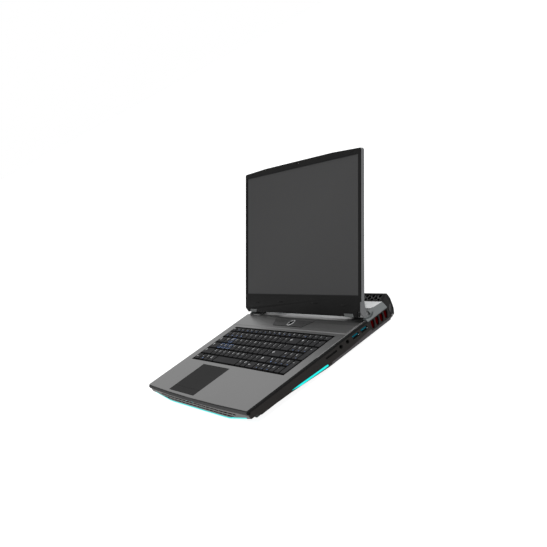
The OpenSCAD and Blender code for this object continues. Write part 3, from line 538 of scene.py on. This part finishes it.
def key_cap(pc, lo, hi, legend=None, legend2=None, outline=False, wide=False):
    (x0, y0, z0), (x1, y1, z1) = lo, hi
    depth = y1 - y0
    ring = lambda ix, yf, yb, z, r: [(x, y, z) for x, y in rrect(x0 + ix, x1 - ix, y0 + yf, y1 - yb, r, 3)]
    d = 0.16 if depth > 12 else 0.1
    pc.loft([ring(0, 0, 0, z0, 0.8), ring(0.04, 0.04, 0.03, z0 + 0.2, 0.9), ring(0.42, 0.36, 0.3, z1 - 1.25, 1.0), ring(0.62, 0.56, 0.46, z1 - 0.45, 1.2),
             ring(0.88, 0.8, 0.7, z1 - 0.1, 1.3), ring(1.2, 1.1, 1.0, z1, 1.3), ring(2.2, 2.1, 1.8, z1 - d * 0.7, 1.2), ring(3.8, 3.7, 3.1, z1 - d, 0.8)],
            [1, 1, 1, 0, 0, 0, 0])
    zt = z1 - 0.02
    big = 6.4 if depth > 12 else 4.4
    if legend:
        if legend in ICONS:
            s1 = big * (1.0 if x1 - x0 > 20 else 0.66)
            icon(pc, legend, x0 + 2.5, y1 - 2.2 - s1, zt, s1, 2)
        else:
            stamp(pc, legend, x0 + 2.2, y1 - 2.0 - big * 0.72, zt, big, 2)
    if legend2:
        s2 = big * 0.5
        if legend2 in ICONS:
            icon(pc, legend2, x1 - 2.4 - s2, y0 + 2.4, zt, s2, 3)
        else:
            stamp(pc, legend2, x1 - 2.4 - s2, y0 + 2.5, zt, s2 * 1.5, 3)
    if outline:
        a, b = rrect(x0 + 1.2, x1 - 1.2, y0 + 1.2, y1 - 1.0, 1.3, 3), rrect(x0 + 1.85, x1 - 1.85, y0 + 1.85, y1 - 1.65, 0.9, 3)
        n = len(a)
        zt2 = z1 + 0.02
        i0 = pc.add([(x, y, zt2) for x, y in a])
        i1 = pc.add([(x, y, zt2) for x, y in b])
        i2 = pc.add([(x, y, zt2 - 0.35) for x, y in b])
        i3 = pc.add([(x, y, zt2 - 0.35) for x, y in a])
        for s, t in ((i0, i1), (i1, i2), (i2, i3), (i3, i0)):
            for i in range(n):
                j = (i + 1) % n
                pc.face((s + i, s + j, t + j, t + i), 3)


KEYMAT = ["key_plastic", "key_side", "legend_grey", "legend_blue"]
ROWS = {
    "keys_function_row": [("dot", None)] + [(str(i), k) for i, k in zip((1, 2, 3, 4, 5, 6, 7, 8, 9, 10, 11, 12), ("square", "bar", "dot", "lines", "square", "left", "right", "up", "down", "dot", "lines", "square"))]
    + [("square", None), ("lines", None), ("bar", "dot"), ("up", None), ("down", None), ("lines", None), ("bar", None)],
    "keys_number_row": [("`", "bar"), ("1", "dot"), ("2", "dot"), ("3", "dot")] + [(c, None) for c in "4567890-="] + [("left", None)],
    "keys_tab_row": [("lines", None), ("Q", None)] + [(c, None) for c in "ERTYUIOP[]"] + [("/", None)],
    "keys_caps_row": [("up", None)] + [(c, None) for c in "FGHJKL;'"] + [("left", None)],
    "keys_shift_row": [("up", None)] + [(c, None) for c in "ZXCVBNM,.?"] + [("up", None)],
    "keys_modifier_row": [("bar", None), ("bar", "dot"), ("square", None), ("lines", None), ("lines", None), ("square", None), ("bar", None)],
    "spacebar": [(None, None)],
    "arrow_keys": [("up", "dot"), ("left", "bar"), ("down", "bar"), ("right", "bar")],
    "numpad_keys": None,
    "wasd_keys": [("W", "up"), ("A", "left"), ("S", "down"), ("D", "right")],
}
NUMPAD = {4: ["dot", "/", "*", "-"], 3: ["7", "8", "9"], 2: ["4", "5", "6"], 1: ["1", "2", "3"], 0: ["0", "."]}
for node, legends in ROWS.items():
    boxes = loose(node)
    pc = Piece()
    if legends is None:
        y_front = min(b[0][1] for b in boxes)
        rows = {}
        for b in boxes:
            tall = b[1][1] - b[0][1] > 20
            if tall:
                key_cap(pc, b[0], b[1], "bar", None)
                continue
            rows.setdefault(round((b[0][1] - y_front) / 17.6), []).append(b)
        for r, bs in rows.items():
            for b, ch in zip(sorted(bs), NUMPAD[r]):
                key_cap(pc, b[0], b[1], ch, "bar" if r in (0, 1, 2, 3) and ch in "246813579" and ch not in "5" else None)
    else:
        for b, (ch, c2) in zip(boxes, legends):
            key_cap(pc, b[0], b[1], ch, c2, outline=(node == "wasd_keys"))
    ob = pc.make(node + "_caps", KEYMAT, node, "key_accent" if node == "wasd_keys" else "key_black", sharp=40)
    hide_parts(node)

# ------------------------------------------------------------ touchpad and power button
lo, hi = mm_box("touchpad")
pc = Piece()
up = lambda z: (lambda x, y: (x, y, z))
r4 = lambda i: rrect(lo[0] + i, hi[0] - i, lo[1] + i, hi[1] - i, 1.6, 4)
pc.slab(r4(0.0), up(lo[2]), up(hi[2] - 0.22), 1)
pc.loft([[(x, y, hi[2] - 0.24) for x, y in rrect(lo[0], hi[0], lo[1] + 13.4, hi[1], 1.5, 4)],
         [(x, y, hi[2] - 0.08) for x, y in rrect(lo[0], hi[0], lo[1] + 13.4, hi[1], 1.5, 4)],
         [(x, y, hi[2]) for x, y in rrect(lo[0] + 0.3, hi[0] - 0.3, lo[1] + 13.6, hi[1] - 0.3, 1.3, 4)]], 0)
pc.loft([[(x, y, hi[2] - 0.24) for x, y in rrect(lo[0], hi[0], lo[1], lo[1] + 13.0, 1.5, 4)],
         [(x, y, hi[2] - 0.08) for x, y in rrect(lo[0], hi[0], lo[1], lo[1] + 13.0, 1.5, 4)],
         [(x, y, hi[2]) for x, y in rrect(lo[0] + 0.3, hi[0] - 0.3, lo[1] + 0.3, lo[1] + 12.8, 1.3, 4)]], 0)
ob = pc.make("touchpad_glass", ["pad_surface", "tray_black"], "touchpad", "pad")
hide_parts("touchpad")

lo, hi = mm_box("power_button")
bx, by, R0, zb, zt = (lo[0] + hi[0]) / 2, (lo[1] + hi[1]) / 2, (hi[0] - lo[0]) / 2, lo[2], hi[2]
pc = Piece()
pc.lathe([(R0, zb), (R0, zt - 0.3), (R0 - 0.2, zt - 0.04), (R0 - 0.35, zt), (R0 - 0.85, zt), (R0 - 1.05, zt - 0.1), (R0 - 1.1, zt - 0.25), (R0 - 1.1, zb)],
         lambda a, b, h: (bx + a, by + b, h), [1, 0, 0, 0, 0, 1, 1, 1], 64, closed=True)
ob = pc.make("power_button_ring", ["ring_metal", "button_face"], "power_button", "ring_silver", sharp=50)
pc = Piece()
pc.lathe([(R0 - 1.12, zb + 0.2), (R0 - 1.12, zt - 0.4), (R0 - 1.3, zt - 0.3), (3.7, zt - 0.26), (3.4, zt - 0.3), (3.2, zt - 0.8), (2.6, zt - 0.95), (0.6, zt - 1.0), (0.02, zt - 1.0)],
         lambda a, b, h: (bx + a, by + b, h), [0, 0, 0, 1, 1, 1, 1, 1], 64)
ob2 = pc.make("power_button_face", ["panel_anodised", "button_face"], "power_button", "panel_metal", sharp=50)
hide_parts("power_button")

# dark joint round the power panel and two rows of small touch marks on it
lo, hi = mm_box("power_panel")
pc = Piece()
zt = hi[2]
line = [(-65.8, 37.8), (-49.8, 19.6), (49.8, 19.6), (65.8, 37.8)]
for (ax, ay), (bx2, by2), w in zip(line, line[1:], (0.55, 0.7, 0.55)):
    ln = math.hypot(bx2 - ax, by2 - ay)
    nx, ny = (by2 - ay) / ln * w / 2, -(bx2 - ax) / ln * w / 2
    pc.slab([(ax - nx, ay - ny), (ax + nx, ay + ny), (bx2 + nx, by2 + ny), (bx2 - nx, by2 - ny)], lambda x, y: (x, y, zt - 0.5), lambda x, y: (x, y, zt + 0.06), 0)
for sx in (-1, 1):
    for x in (30, 36, 42):
        flat(pc, [(sx * x - 1.3, 30.1), (sx * x + 1.3, 30.1), (sx * x + 1.3, 30.7), (sx * x - 1.3, 30.7)], zt + 0.04, 1, 0.4)
pc.make("power_panel_joint", ["collar_black", "key_side"], "base", "key_black")

# ------------------------------------------------------------ honeycomb over the rear vent
lo, hi = mm_box("top_vent_mesh")
ang = math.atan2(4.5, 10.1)
CA, SA = math.cos(ang), math.sin(ang)
y0m, z0m = 94.9, hi[2] - (hi[1] - 94.9) * math.tan(ang)
PX, PS, TH = 8.885, 8.0, 0.9
hexa = lambda t: [(PX * 2 / 3 - t * 1.6, 0.0), (PX / 3 - t * 0.6, PS / 2 - t), (-PX / 3 + t * 0.6, PS / 2 - t), (-PX * 2 / 3 + t * 1.6, 0.0), (-PX / 3 + t * 0.6, -PS / 2 + t), (PX / 3 - t * 0.6, -PS / 2 + t)]
slope = lambda x, s, h: (x, y0m + s * CA - h * SA, z0m + s * SA + h * CA)
pc = Piece()
edges = {}
CLIP = lambda pts: [(x, min(12.9, max(0.2, s))) for x, s in pts]
cols = 20
for i in range(-cols, cols + 1):
    for j in range(3):
        cx, cs = i * PX, 2.5 + (j - (0.5 if i % 2 else 0.0)) * PS
        if cs > 12.0:
            continue
        o = [(x - cx, s - cs) for x, s in CLIP([(cx + u, cs + w) for u, w in hexa(0.0)])]
        h = [(x - cx, s - cs) for x, s in [(x, min(12.4, max(0.7, s))) for x, s in [(cx + u, cs + w) for u, w in hexa(0.55)]]]
        if max(s for x, s in o) - min(s for x, s in o) < 2.5:
            continue
        a = pc.add([slope(cx + u, cs + w, -0.1) for u, w in o])
        b = pc.add([slope(cx + u, cs + w, -0.1) for u, w in h])
        c = pc.add([slope(cx + u, cs + w, -0.1 - TH) for u, w in h])
        d = pc.add([slope(cx + u, cs + w, -0.1 - TH) for u, w in o])
        for k in range(6):
            q = (k + 1) % 6
            pc.face((a + k, a + q, b + q, b + k), 0)
            pc.face((b + k, b + q, c + q, c + k), 0)
            pc.face((c + k, c + q, d + q, d + k), 0)
            e = frozenset(((round(cx + o[k][0], 2), round(cs + o[k][1], 2)), (round(cx + o[q][0], 2), round(cs + o[q][1], 2))))
            edges.setdefault(e, []).append((a + k, a + q, d + q, d + k))
for e, fs in edges.items():
    if len(fs) == 1:
        pc.face(fs[0], 0)
ob = pc.make("top_vent_honeycomb", ["mesh_grey"], "base", "black_mesh", merge=0.01)
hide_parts("top_vent_mesh")

# ------------------------------------------------------------ front fascia with slanted slots
FRONT = mm_box("deck_band")[0][1] + 1.5
lipz = lambda x: 7.6 + max(0.0, abs(x) - 120) * (9.1 / 72)
ys = lambda x: FRONT + 2.5 + max(0.0, abs(x) - 100) * (2.0 / 97.9)
pc = Piece()


def patch(poly, m=0, proud=0.35, deep=1.3):
    pc.slab(poly, lambda x, z: (x, ys(x) + deep, z), lambda x, z: (x, ys(x) - proud, z), m)


GX, ZT = 152.0, 22.25
rows = ((10.2, 12.5), (14.9, 17.2))
SH = 2.1
step = 16.4


def rail(za, zb, xmax):
    n = int(2 * xmax / 8)
    xs = [-xmax + 2 * xmax * k / n for k in range(n + 1)]
    for a, b in zip(xs, xs[1:]):
        la, lb = max(za, lipz(a)), max(za, lipz(b))
        if la < zb - 0.05 and lb < zb - 0.05:
            patch([(a, la), (b, lb), (b, zb), (a, zb)])


rail(7.7, rows[0][0], 130)
rail(rows[0][1], rows[1][0], GX)
rail(rows[1][1], ZT, GX)
for r, (za, zb) in enumerate(rows):
    k = -14
    while k < 15:
        x = k * step + r * 7.0
        dx = (zb - za) * SH
        pts = [(x, za), (x + 1.5, za), (x + 1.5 + dx, zb), (x + dx, zb)]
        if max(abs(p[0]) for p in pts) < (138.0, 149.0)[r] and all(lipz(p[0]) < p[1] + 0.4 for p in pts):
            patch([(px, max(pz, lipz(px))) for px, pz in pts])
        k += 1
# closed ends of the fascia, in short strips that follow the lip
for sx in (-1, 1):
    a = 120.0
    while a < 196.5:
        b = min(a + 4.0, 197.0)
        # outside the grille everything is closed; inside it only what lies under the slots' stepped ends
        def z_low(x):
            return lipz(x) if x < 185.3 else lipz(185.3) - 2.1 + (x - 185.3) * 0.13
        if a >= GX - 0.01:
            poly = [(sx * a, z_low(a)), (sx * b, z_low(b)), (sx * b, ZT), (sx * a, ZT)]
            patch(poly)
        a = b
    for (za, zb), x_end in zip(rows, (139.0, 150.5)):
        a = x_end
        while a < GX - 0.01:
            b = min(a + 4.0, GX)
            la, lb = max(za - 0.9, lipz(a)), max(za - 0.9, lipz(b))
            if la < zb and lb < zb:
                patch([(sx * a, la), (sx * b, lb), (sx * b, zb), (sx * a, zb)])
            a = b
ob = pc.make("front_fascia", ["fascia_grey"], "base", "black_mesh", merge=0.02)
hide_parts("front_grille")
pc = Piece()
n = 40
xs = [-151 + 302 * k / n for k in range(n + 1)]
for a, b in zip(xs, xs[1:]):
    pc.slab([(a, max(9.9, lipz(a) + 1.9)), (b, max(9.9, lipz(b) + 1.9)), (b, 22.2), (a, 22.2)], lambda x, z: (x, ys(x) + 3.4, z), lambda x, z: (x, ys(x) + 2.6, z), 0)
pc.make("front_fascia_backing", ["grille_black"], "base", "black_mesh", merge=0.02)

# ------------------------------------------------------------ sockets on both sides
pc, pf = Piece(), Piece()
for y0u in (23.5, 41.2):
    for sx in (-1, 1):
        X = lambda v: sx * v
        a, b = sorted((X(186.0), X(198.4)))
        pc.box((a, y0u - 5.5, 19.5), (b, y0u + 5.3, 21.0), 0)
        for k in range(4):
            ya = y0u - 3.9 + k * 2.2
            c, d = sorted((X(189.0), X(198.2)))
            pc.box((c, ya, 19.36), (d, ya + 1.2, 19.52), 1)
        c, d = sorted((X(197.0), X(199.3)))
        pc.box((c, y0u + 5.2, 17.3), (d, y0u + 6.2, 18.5), 2)
        ro, ri = rrect(-6.62, 6.62, -2.85, 2.85, 0.5, 3), rrect(-6.3, 6.3, -2.6, 2.6, 0.3, 3)
        i = [pf.add([(X(x), y0u + u, 19.2 + w) for u, w in rr]) for x, rr in ((198.1, ro), (199.75, ro), (199.75, ri), (198.1, ri))]
        m = len(ro)
        for s, t in ((i[0], i[1]), (i[1], i[2]), (i[2], i[3]), (i[3], i[0])):
            for k in range(m):
                q = (k + 1) % m
                pf.face((s + k, s + q, t + q, t + k), 0)
pc.make("usb_tongues", ["usb_tongue", "gold_contact", "steel"], "base", "usb_blue", bevel=0.12)
pf.make("usb_frames", ["collar_black"], "base", "inner_plastic", sharp=30)

pc = Piece()
for yj, zj in ((-6.6, 19.6), (7.0, 19.6)):
    pc.lathe([(3.1, 198.1), (3.1, 199.3), (2.9, 199.6), (2.2, 199.6), (1.86, 199.2), (1.86, 198.1)], lambda a, b, h: (h, yj + a, zj + b), 0, 32, closed=True)
pc.make("audio_jack_collars", ["collar_black"], "base", "inner_plastic", sharp=50)

pc = Piece()
rr = rrect(-36.6, -15.9, 17.65, 19.95, 0.4, 3)
pc.loft([[(180.0, y, z) for y, z in rr], [(198.2, y, z) for y, z in rr], [(198.5, y, z) for y, z in rrect(-36.4, -16.1, 17.85, 19.75, 0.3, 3)]], 0)
pc.make("card_slot_blank", ["card_blank"], "base", "inner_plastic", sharp=30)

# ------------------------------------------------------------ side vents: lit facets behind the openings
pc = Piece()
for sx in (-1, 1):
    a, b = sorted((sx * 192.4, sx * 193.0))
    pc.box((a, 54.6, 10.7), (b, 91.3, 23.5), 1)
    for i in range(4):
        o = i * 9.2
        red = [(57.4 + o, 23.3), (62.6 + o, 23.0), (62.4 + o, 19), (61.2 + o, 14.6), (59.4 + o, 11.2), (57.0 + o, 10.8), (55.6 + o, 12.6), (56.0 + o, 17)]
        pc.slab(red, lambda y, z: (sx * 195.0, y, z), lambda y, z: (sx * 196.0, y, z), 0)
        web = [(63.0 + o, 23.5), (66.4 + o, 23.5), (65.0 + o, 17), (61.0 + o, 10.8), (59.8 + o, 10.8), (61.6 + o, 14.6), (62.8 + o, 19)]
        pc.slab(web, lambda y, z: (sx * 194.6, y, z), lambda y, z: (sx * 197.2, y, z), 1)
ob = pc.make("side_vent_glow", ["red_glow", "grille_black"], "base", "red_light")
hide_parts("vent_glow_strips")

# ------------------------------------------------------------ trough ends: black sheets of painted shade
pc = Piece()
for sx in (-1, 1):
    n = 18
    a0, a1 = math.radians(228), math.radians(276)
    arc = [(a0 + (a1 - a0) * k / n) for k in range(n + 1)]
    prof = [(HY + 16.46 * math.cos(t), HZ + 16.46 * math.sin(t)) for t in arc] + [(HY + 16.0 * math.cos(t), HZ + 16.0 * math.sin(t)) for t in reversed(arc)]
    xa, xb = sorted((sx * 152.4, sx * 189.5))
    pc.loft([[(xa, y, z) for y, z in prof], [(xb, y, z) for y, z in prof]], 0)
pc.make("trough_shade_sheets", ["trough_shade_black"], "base", "inner_plastic", sharp=40)


# ------------------------------------------------------------ lid: screen film, camera, bumpers, microphone holes
pc = Piece()
sw, z0s, z1s = 191.0, 20.6, 235.6
o, i1, i2 = rrect(-sw + 0.05, sw - 0.05, z0s + 0.05, z1s - 0.05, 0.3, 2), rrect(-sw + 0.8, sw - 0.8, z0s + 0.8, z1s - 0.8, 0.3, 2), rrect(-sw + 1.0, sw - 1.0, z0s + 1.0, z1s - 1.0, 0.3, 2)
a = pc.add([L(x, -8.56, z) for x, z in o])
b = pc.add([L(x, -8.80, z) for x, z in o])
c = pc.add([L(x, -8.80, z) for x, z in i1])
d = pc.add([L(x, -8.74, z) for x, z in i2])
n = len(o)
for s, t, m in ((a, b, 1), (b, c, 1), (c, d, 1)):
    for k in range(n):
        q = (k + 1) % n
        pc.face((s + k, s + q, t + q, t + k), m)
pc.face([d + k for k in range(n)], 0)
pc.face([a + k for k in reversed(range(n))], 1)
pc.make("screen_film", ["screen_matte", "screen_edge"], "lid", "screen")

pc = Piece()
PL = lambda cx, cz: (lambda u, w, h: L(cx + u, -h, cz + w))
pc.lathe([(2.25, 8.4), (2.25, 9.9), (2.05, 10.0), (1.55, 10.0), (1.35, 9.8), (1.3, 9.2), (0.02, 9.45)], PL(0, 242.2), [1, 1, 1, 1, 1, 0], 32)
ob = pc.make("webcam_lens", ["lens_glass", "collar_black"], "lid", "lens", sharp=50)
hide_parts("webcam")
pc = Piece()
for x in (-22, 22, -26, 26):
    pc.lathe([(0.55, 9.9), (0.55, 10.03), (0.02, 10.03)], PL(x, 242.2), 0, 12)
pc.lathe([(0.5, 9.9), (0.5, 10.03), (0.02, 10.03)], PL(6.5, 242.2), 1, 12)
pc.make("microphone_holes", ["grille_black", "legend_grey"], "lid", "lens")
pc = Piece()
for x, z, w in ((-150, 5.5, 9), (150, 5.5, 9), (-60, 8.0, 9), (60, 8.0, 9), (-172, 241.0, 7), (172, 241.0, 7), (-70, 242.6, 7), (70, 242.6, 7)):
    rr = rrect(x - w, x + w, z - 1.3, z + 1.3, 1.25, 4)
    rs = rrect(x - w + 0.3, x + w - 0.3, z - 1.0, z + 1.0, 0.95, 4)
    pc.loft([[L(u, -9.9, v) for u, v in rr], [L(u, -10.25, v) for u, v in rr], [L(u, -10.4, v) for u, v in rs]], 0)
pc.make("bezel_bumpers", ["bezel_plastic"], "lid", "bezel_black")

# two slanted dark inlays and a row of fine ribs on the back of the lid
pc = Piece()
for sx in (-1, 1):
    poly = [(sx * 62, 214), (sx * 70, 214), (sx * 136, 86), (sx * 128, 86)]
    pc.slab(poly, lambda x, z: L(x, -10 + 6.6 + 1.2, z), lambda x, z: L(x, -10 + 6.6 + 1.62, z), 0)
    for k in range(9):
        poly = [(sx * (20 + k * 9), 34), (sx * (24 + k * 9), 34), (sx * (30 + k * 9), 46), (sx * (26 + k * 9), 46)]
        pc.slab(poly, lambda x, z: L(x, -10 + 6.6 + 1.2, z), lambda x, z: L(x, -10 + 6.6 + 1.55, z), 0)
pc.make("lid_back_inlays", ["inner_black"], "lid", "bezel_black", bevel=0.12)

# ------------------------------------------------------------ rear: louvres, socket details
pc = Piece()
for sx in (-1, 1):
    for k in range(6):
        z = 12.6 + k * 2.35
        y = 98.2 + (z - 11.3) * 0.4286
        a, b = sorted((sx * 58.6, sx * 181.4))
        pc.loft([[(a, y - 1.6, z - 0.2), (a, y - 0.2, z + 0.5), (a, y - 0.2, z + 1.0), (a, y - 1.6, z + 0.3)],
                 [(b, y - 1.6, z - 0.2), (b, y - 0.2, z + 0.5), (b, y - 0.2, z + 1.0), (b, y - 1.6, z + 0.3)]], 0)
pc.make("rear_louvres", ["mesh_grey"], "base", "black_mesh")
pc = Piece()
pc.lathe([(1.2, 86.0), (1.2, 98.0), (0.9, 98.8), (0.02, 99.0)], lambda a, b, h: (-32 + a, h, 16.8 + b), 1, 20)
pc.box((-16.2, 86, 16.2), (-4.8, 98.5, 17.4), 0)
pc.box((26.2, 86, 17.4), (36.4, 98.5, 18.9), 2)
for k in range(8):
    pc.box((8.0 + k * 1.2, 87, 19.6), (8.6 + k * 1.2, 98.0, 20.2), 1)
pc.make("rear_socket_contacts", ["inner_black", "gold_contact", "usb_tongue"], "base", "inner_plastic", bevel=0.06)

# ------------------------------------------------------------ underside: hatch, intake mesh
pc = Piece()
FZ = 2.0
pc.loft([[(x, y, FZ + 0.1) for x, y in rrect(-76, 76, -92, 48, 4, 4)], [(x, y, FZ - 0.28) for x, y in rrect(-76, 76, -92, 48, 4, 4)], [(x, y, FZ - 0.45) for x, y in rrect(-75.2, 75.2, -91.2, 47.2, 3.6, 4)]], 0)
for k in range(5):
    x = -40 + k * 20
    pc.slab([(x, 10), (x + 4, 10), (x + 12, 40), (x + 8, 40)], lambda x, y: (x, y, FZ - 0.4), lambda x, y: (x, y, FZ - 0.75), 0)
pc.make("underside_hatch", ["shell_dark"], "base", "dark_shell")
pc = Piece()
for sx in (-1, 1):
    for a in range(-3, 4):
        cx = sx * 132 + a * 9
        for k in range(14):
            y = 22 - 29 + k * 4.4
            pc.box((cx - 2.35, y, FZ + 0.5), (cx + 2.35, y + 0.8, FZ + 1.1), 0)
        pc.box((cx - 0.35, -7.9, FZ + 0.55), (cx + 0.35, 51.9, FZ + 1.15), 0)
pc.make("intake_guards", ["mesh_grey"], "base", "black_mesh")

# ------------------------------------------------------------ floor and light
def new_mesh_object(name, verts, faces, mats, face_mat=None, smooth=False):
    me = bpy.data.meshes.new(name)
    me.from_pydata([tuple(v) for v in verts], [], faces)
    for mm in mats:
        me.materials.append(MATS[mm] if isinstance(mm, str) else mm)
    if face_mat:
        for i, k in enumerate(face_mat):
            me.polygons[i].material_index = k
    for p in me.polygons:
        p.use_smooth = smooth
    me.update()
    ob = bpy.data.objects.new(name, me)
    bpy.context.scene.collection.objects.link(ob)
    return ob


floor_mat = bpy.data.materials.new("floor_pale")
floor_mat.use_nodes = True
_nt = floor_mat.node_tree
_p = _nt.nodes["Principled BSDF"]
_n = _nt.nodes.new("ShaderNodeTexNoise")
_n.inputs["Scale"].default_value = 3
_nt.links.new(ramp(_nt, _n.outputs["Fac"], [(0.3, (0.30, 0.30, 0.30)), (0.7, (0.33, 0.33, 0.33))]), _p.inputs["Base Color"])
_p.inputs["Emission Color"].default_value = (1, 1, 1, 1)
_p.inputs["Emission Strength"].default_value = 0.92
_p.inputs["Roughness"].default_value = 0.9
floor = new_mesh_object("floor", [(-60, -60, 0), (60, -60, 0), (60, 60, 0), (-60, 60, 0)], [(0, 1, 2, 3)], [floor_mat])

world = bpy.data.worlds.new("studio")
bpy.context.scene.world = world
world.use_nodes = True
_w = world.node_tree
_bg = _w.nodes["Background"]
_tc = _w.nodes.new("ShaderNodeTexCoord")
_dot = _w.nodes.new("ShaderNodeVectorMath")
_dot.operation = "DOT_PRODUCT"
_dot.inputs[1].default_value = (0.0, 0.45, 0.89)
_w.links.new(_tc.outputs["Generated"], _dot.inputs[0])
_mr = _w.nodes.new("ShaderNodeMapRange")
_mr.inputs["From Min"].default_value = -0.3
_mr.inputs["From Max"].default_value = 1.0
_mr.inputs["To Min"].default_value = 0.2
_mr.inputs["To Max"].default_value = 1.5
_w.links.new(_dot.outputs["Value"], _mr.inputs["Value"])
_w.links.new(_mr.outputs["Result"], _bg.inputs[1])
_bg.inputs[0].default_value = (1, 1, 1, 1)
_white = _w.nodes.new("ShaderNodeBackground")
_white.inputs[0].default_value = (1, 1, 1, 1)
_white.inputs[1].default_value = 1.0
_lp = _w.nodes.new("ShaderNodeLightPath")
_mix = _w.nodes.new("ShaderNodeMixShader")
_w.links.new(_lp.outputs["Is Camera Ray"], _mix.inputs[0])
_w.links.new(_bg.outputs[0], _mix.inputs[1])
_w.links.new(_white.outputs[0], _mix.inputs[2])
_w.links.new(_mix.outputs[0], _w.nodes["World Output"].inputs["Surface"])


def area(name, loc, target, size, power, color=(1, 1, 1)):
    l = bpy.data.lights.new(name, "AREA")
    l.shape = "RECTANGLE"
    l.size, l.size_y = size
    l.energy = power
    l.color = color
    ob = bpy.data.objects.new(name, l)
    bpy.context.scene.collection.objects.link(ob)
    ob.location = loc
    ob.rotation_mode = "QUATERNION"
    ob.rotation_quaternion = (Vector(target) - Vector(loc)).to_track_quat("-Z", "Y")
    return ob


area("key_light", (0.2, -1.3, 1.9), (0, 0, 0.05), (1.6, 1.2), 14)
area("rim_light", (1.5, 1.2, 1.4), (0, 0.05, 0.05), (1.2, 1.0), 8)
bpy.context.scene.view_settings.view_transform = "Standard"
bpy.context.scene.view_settings.look = "None"
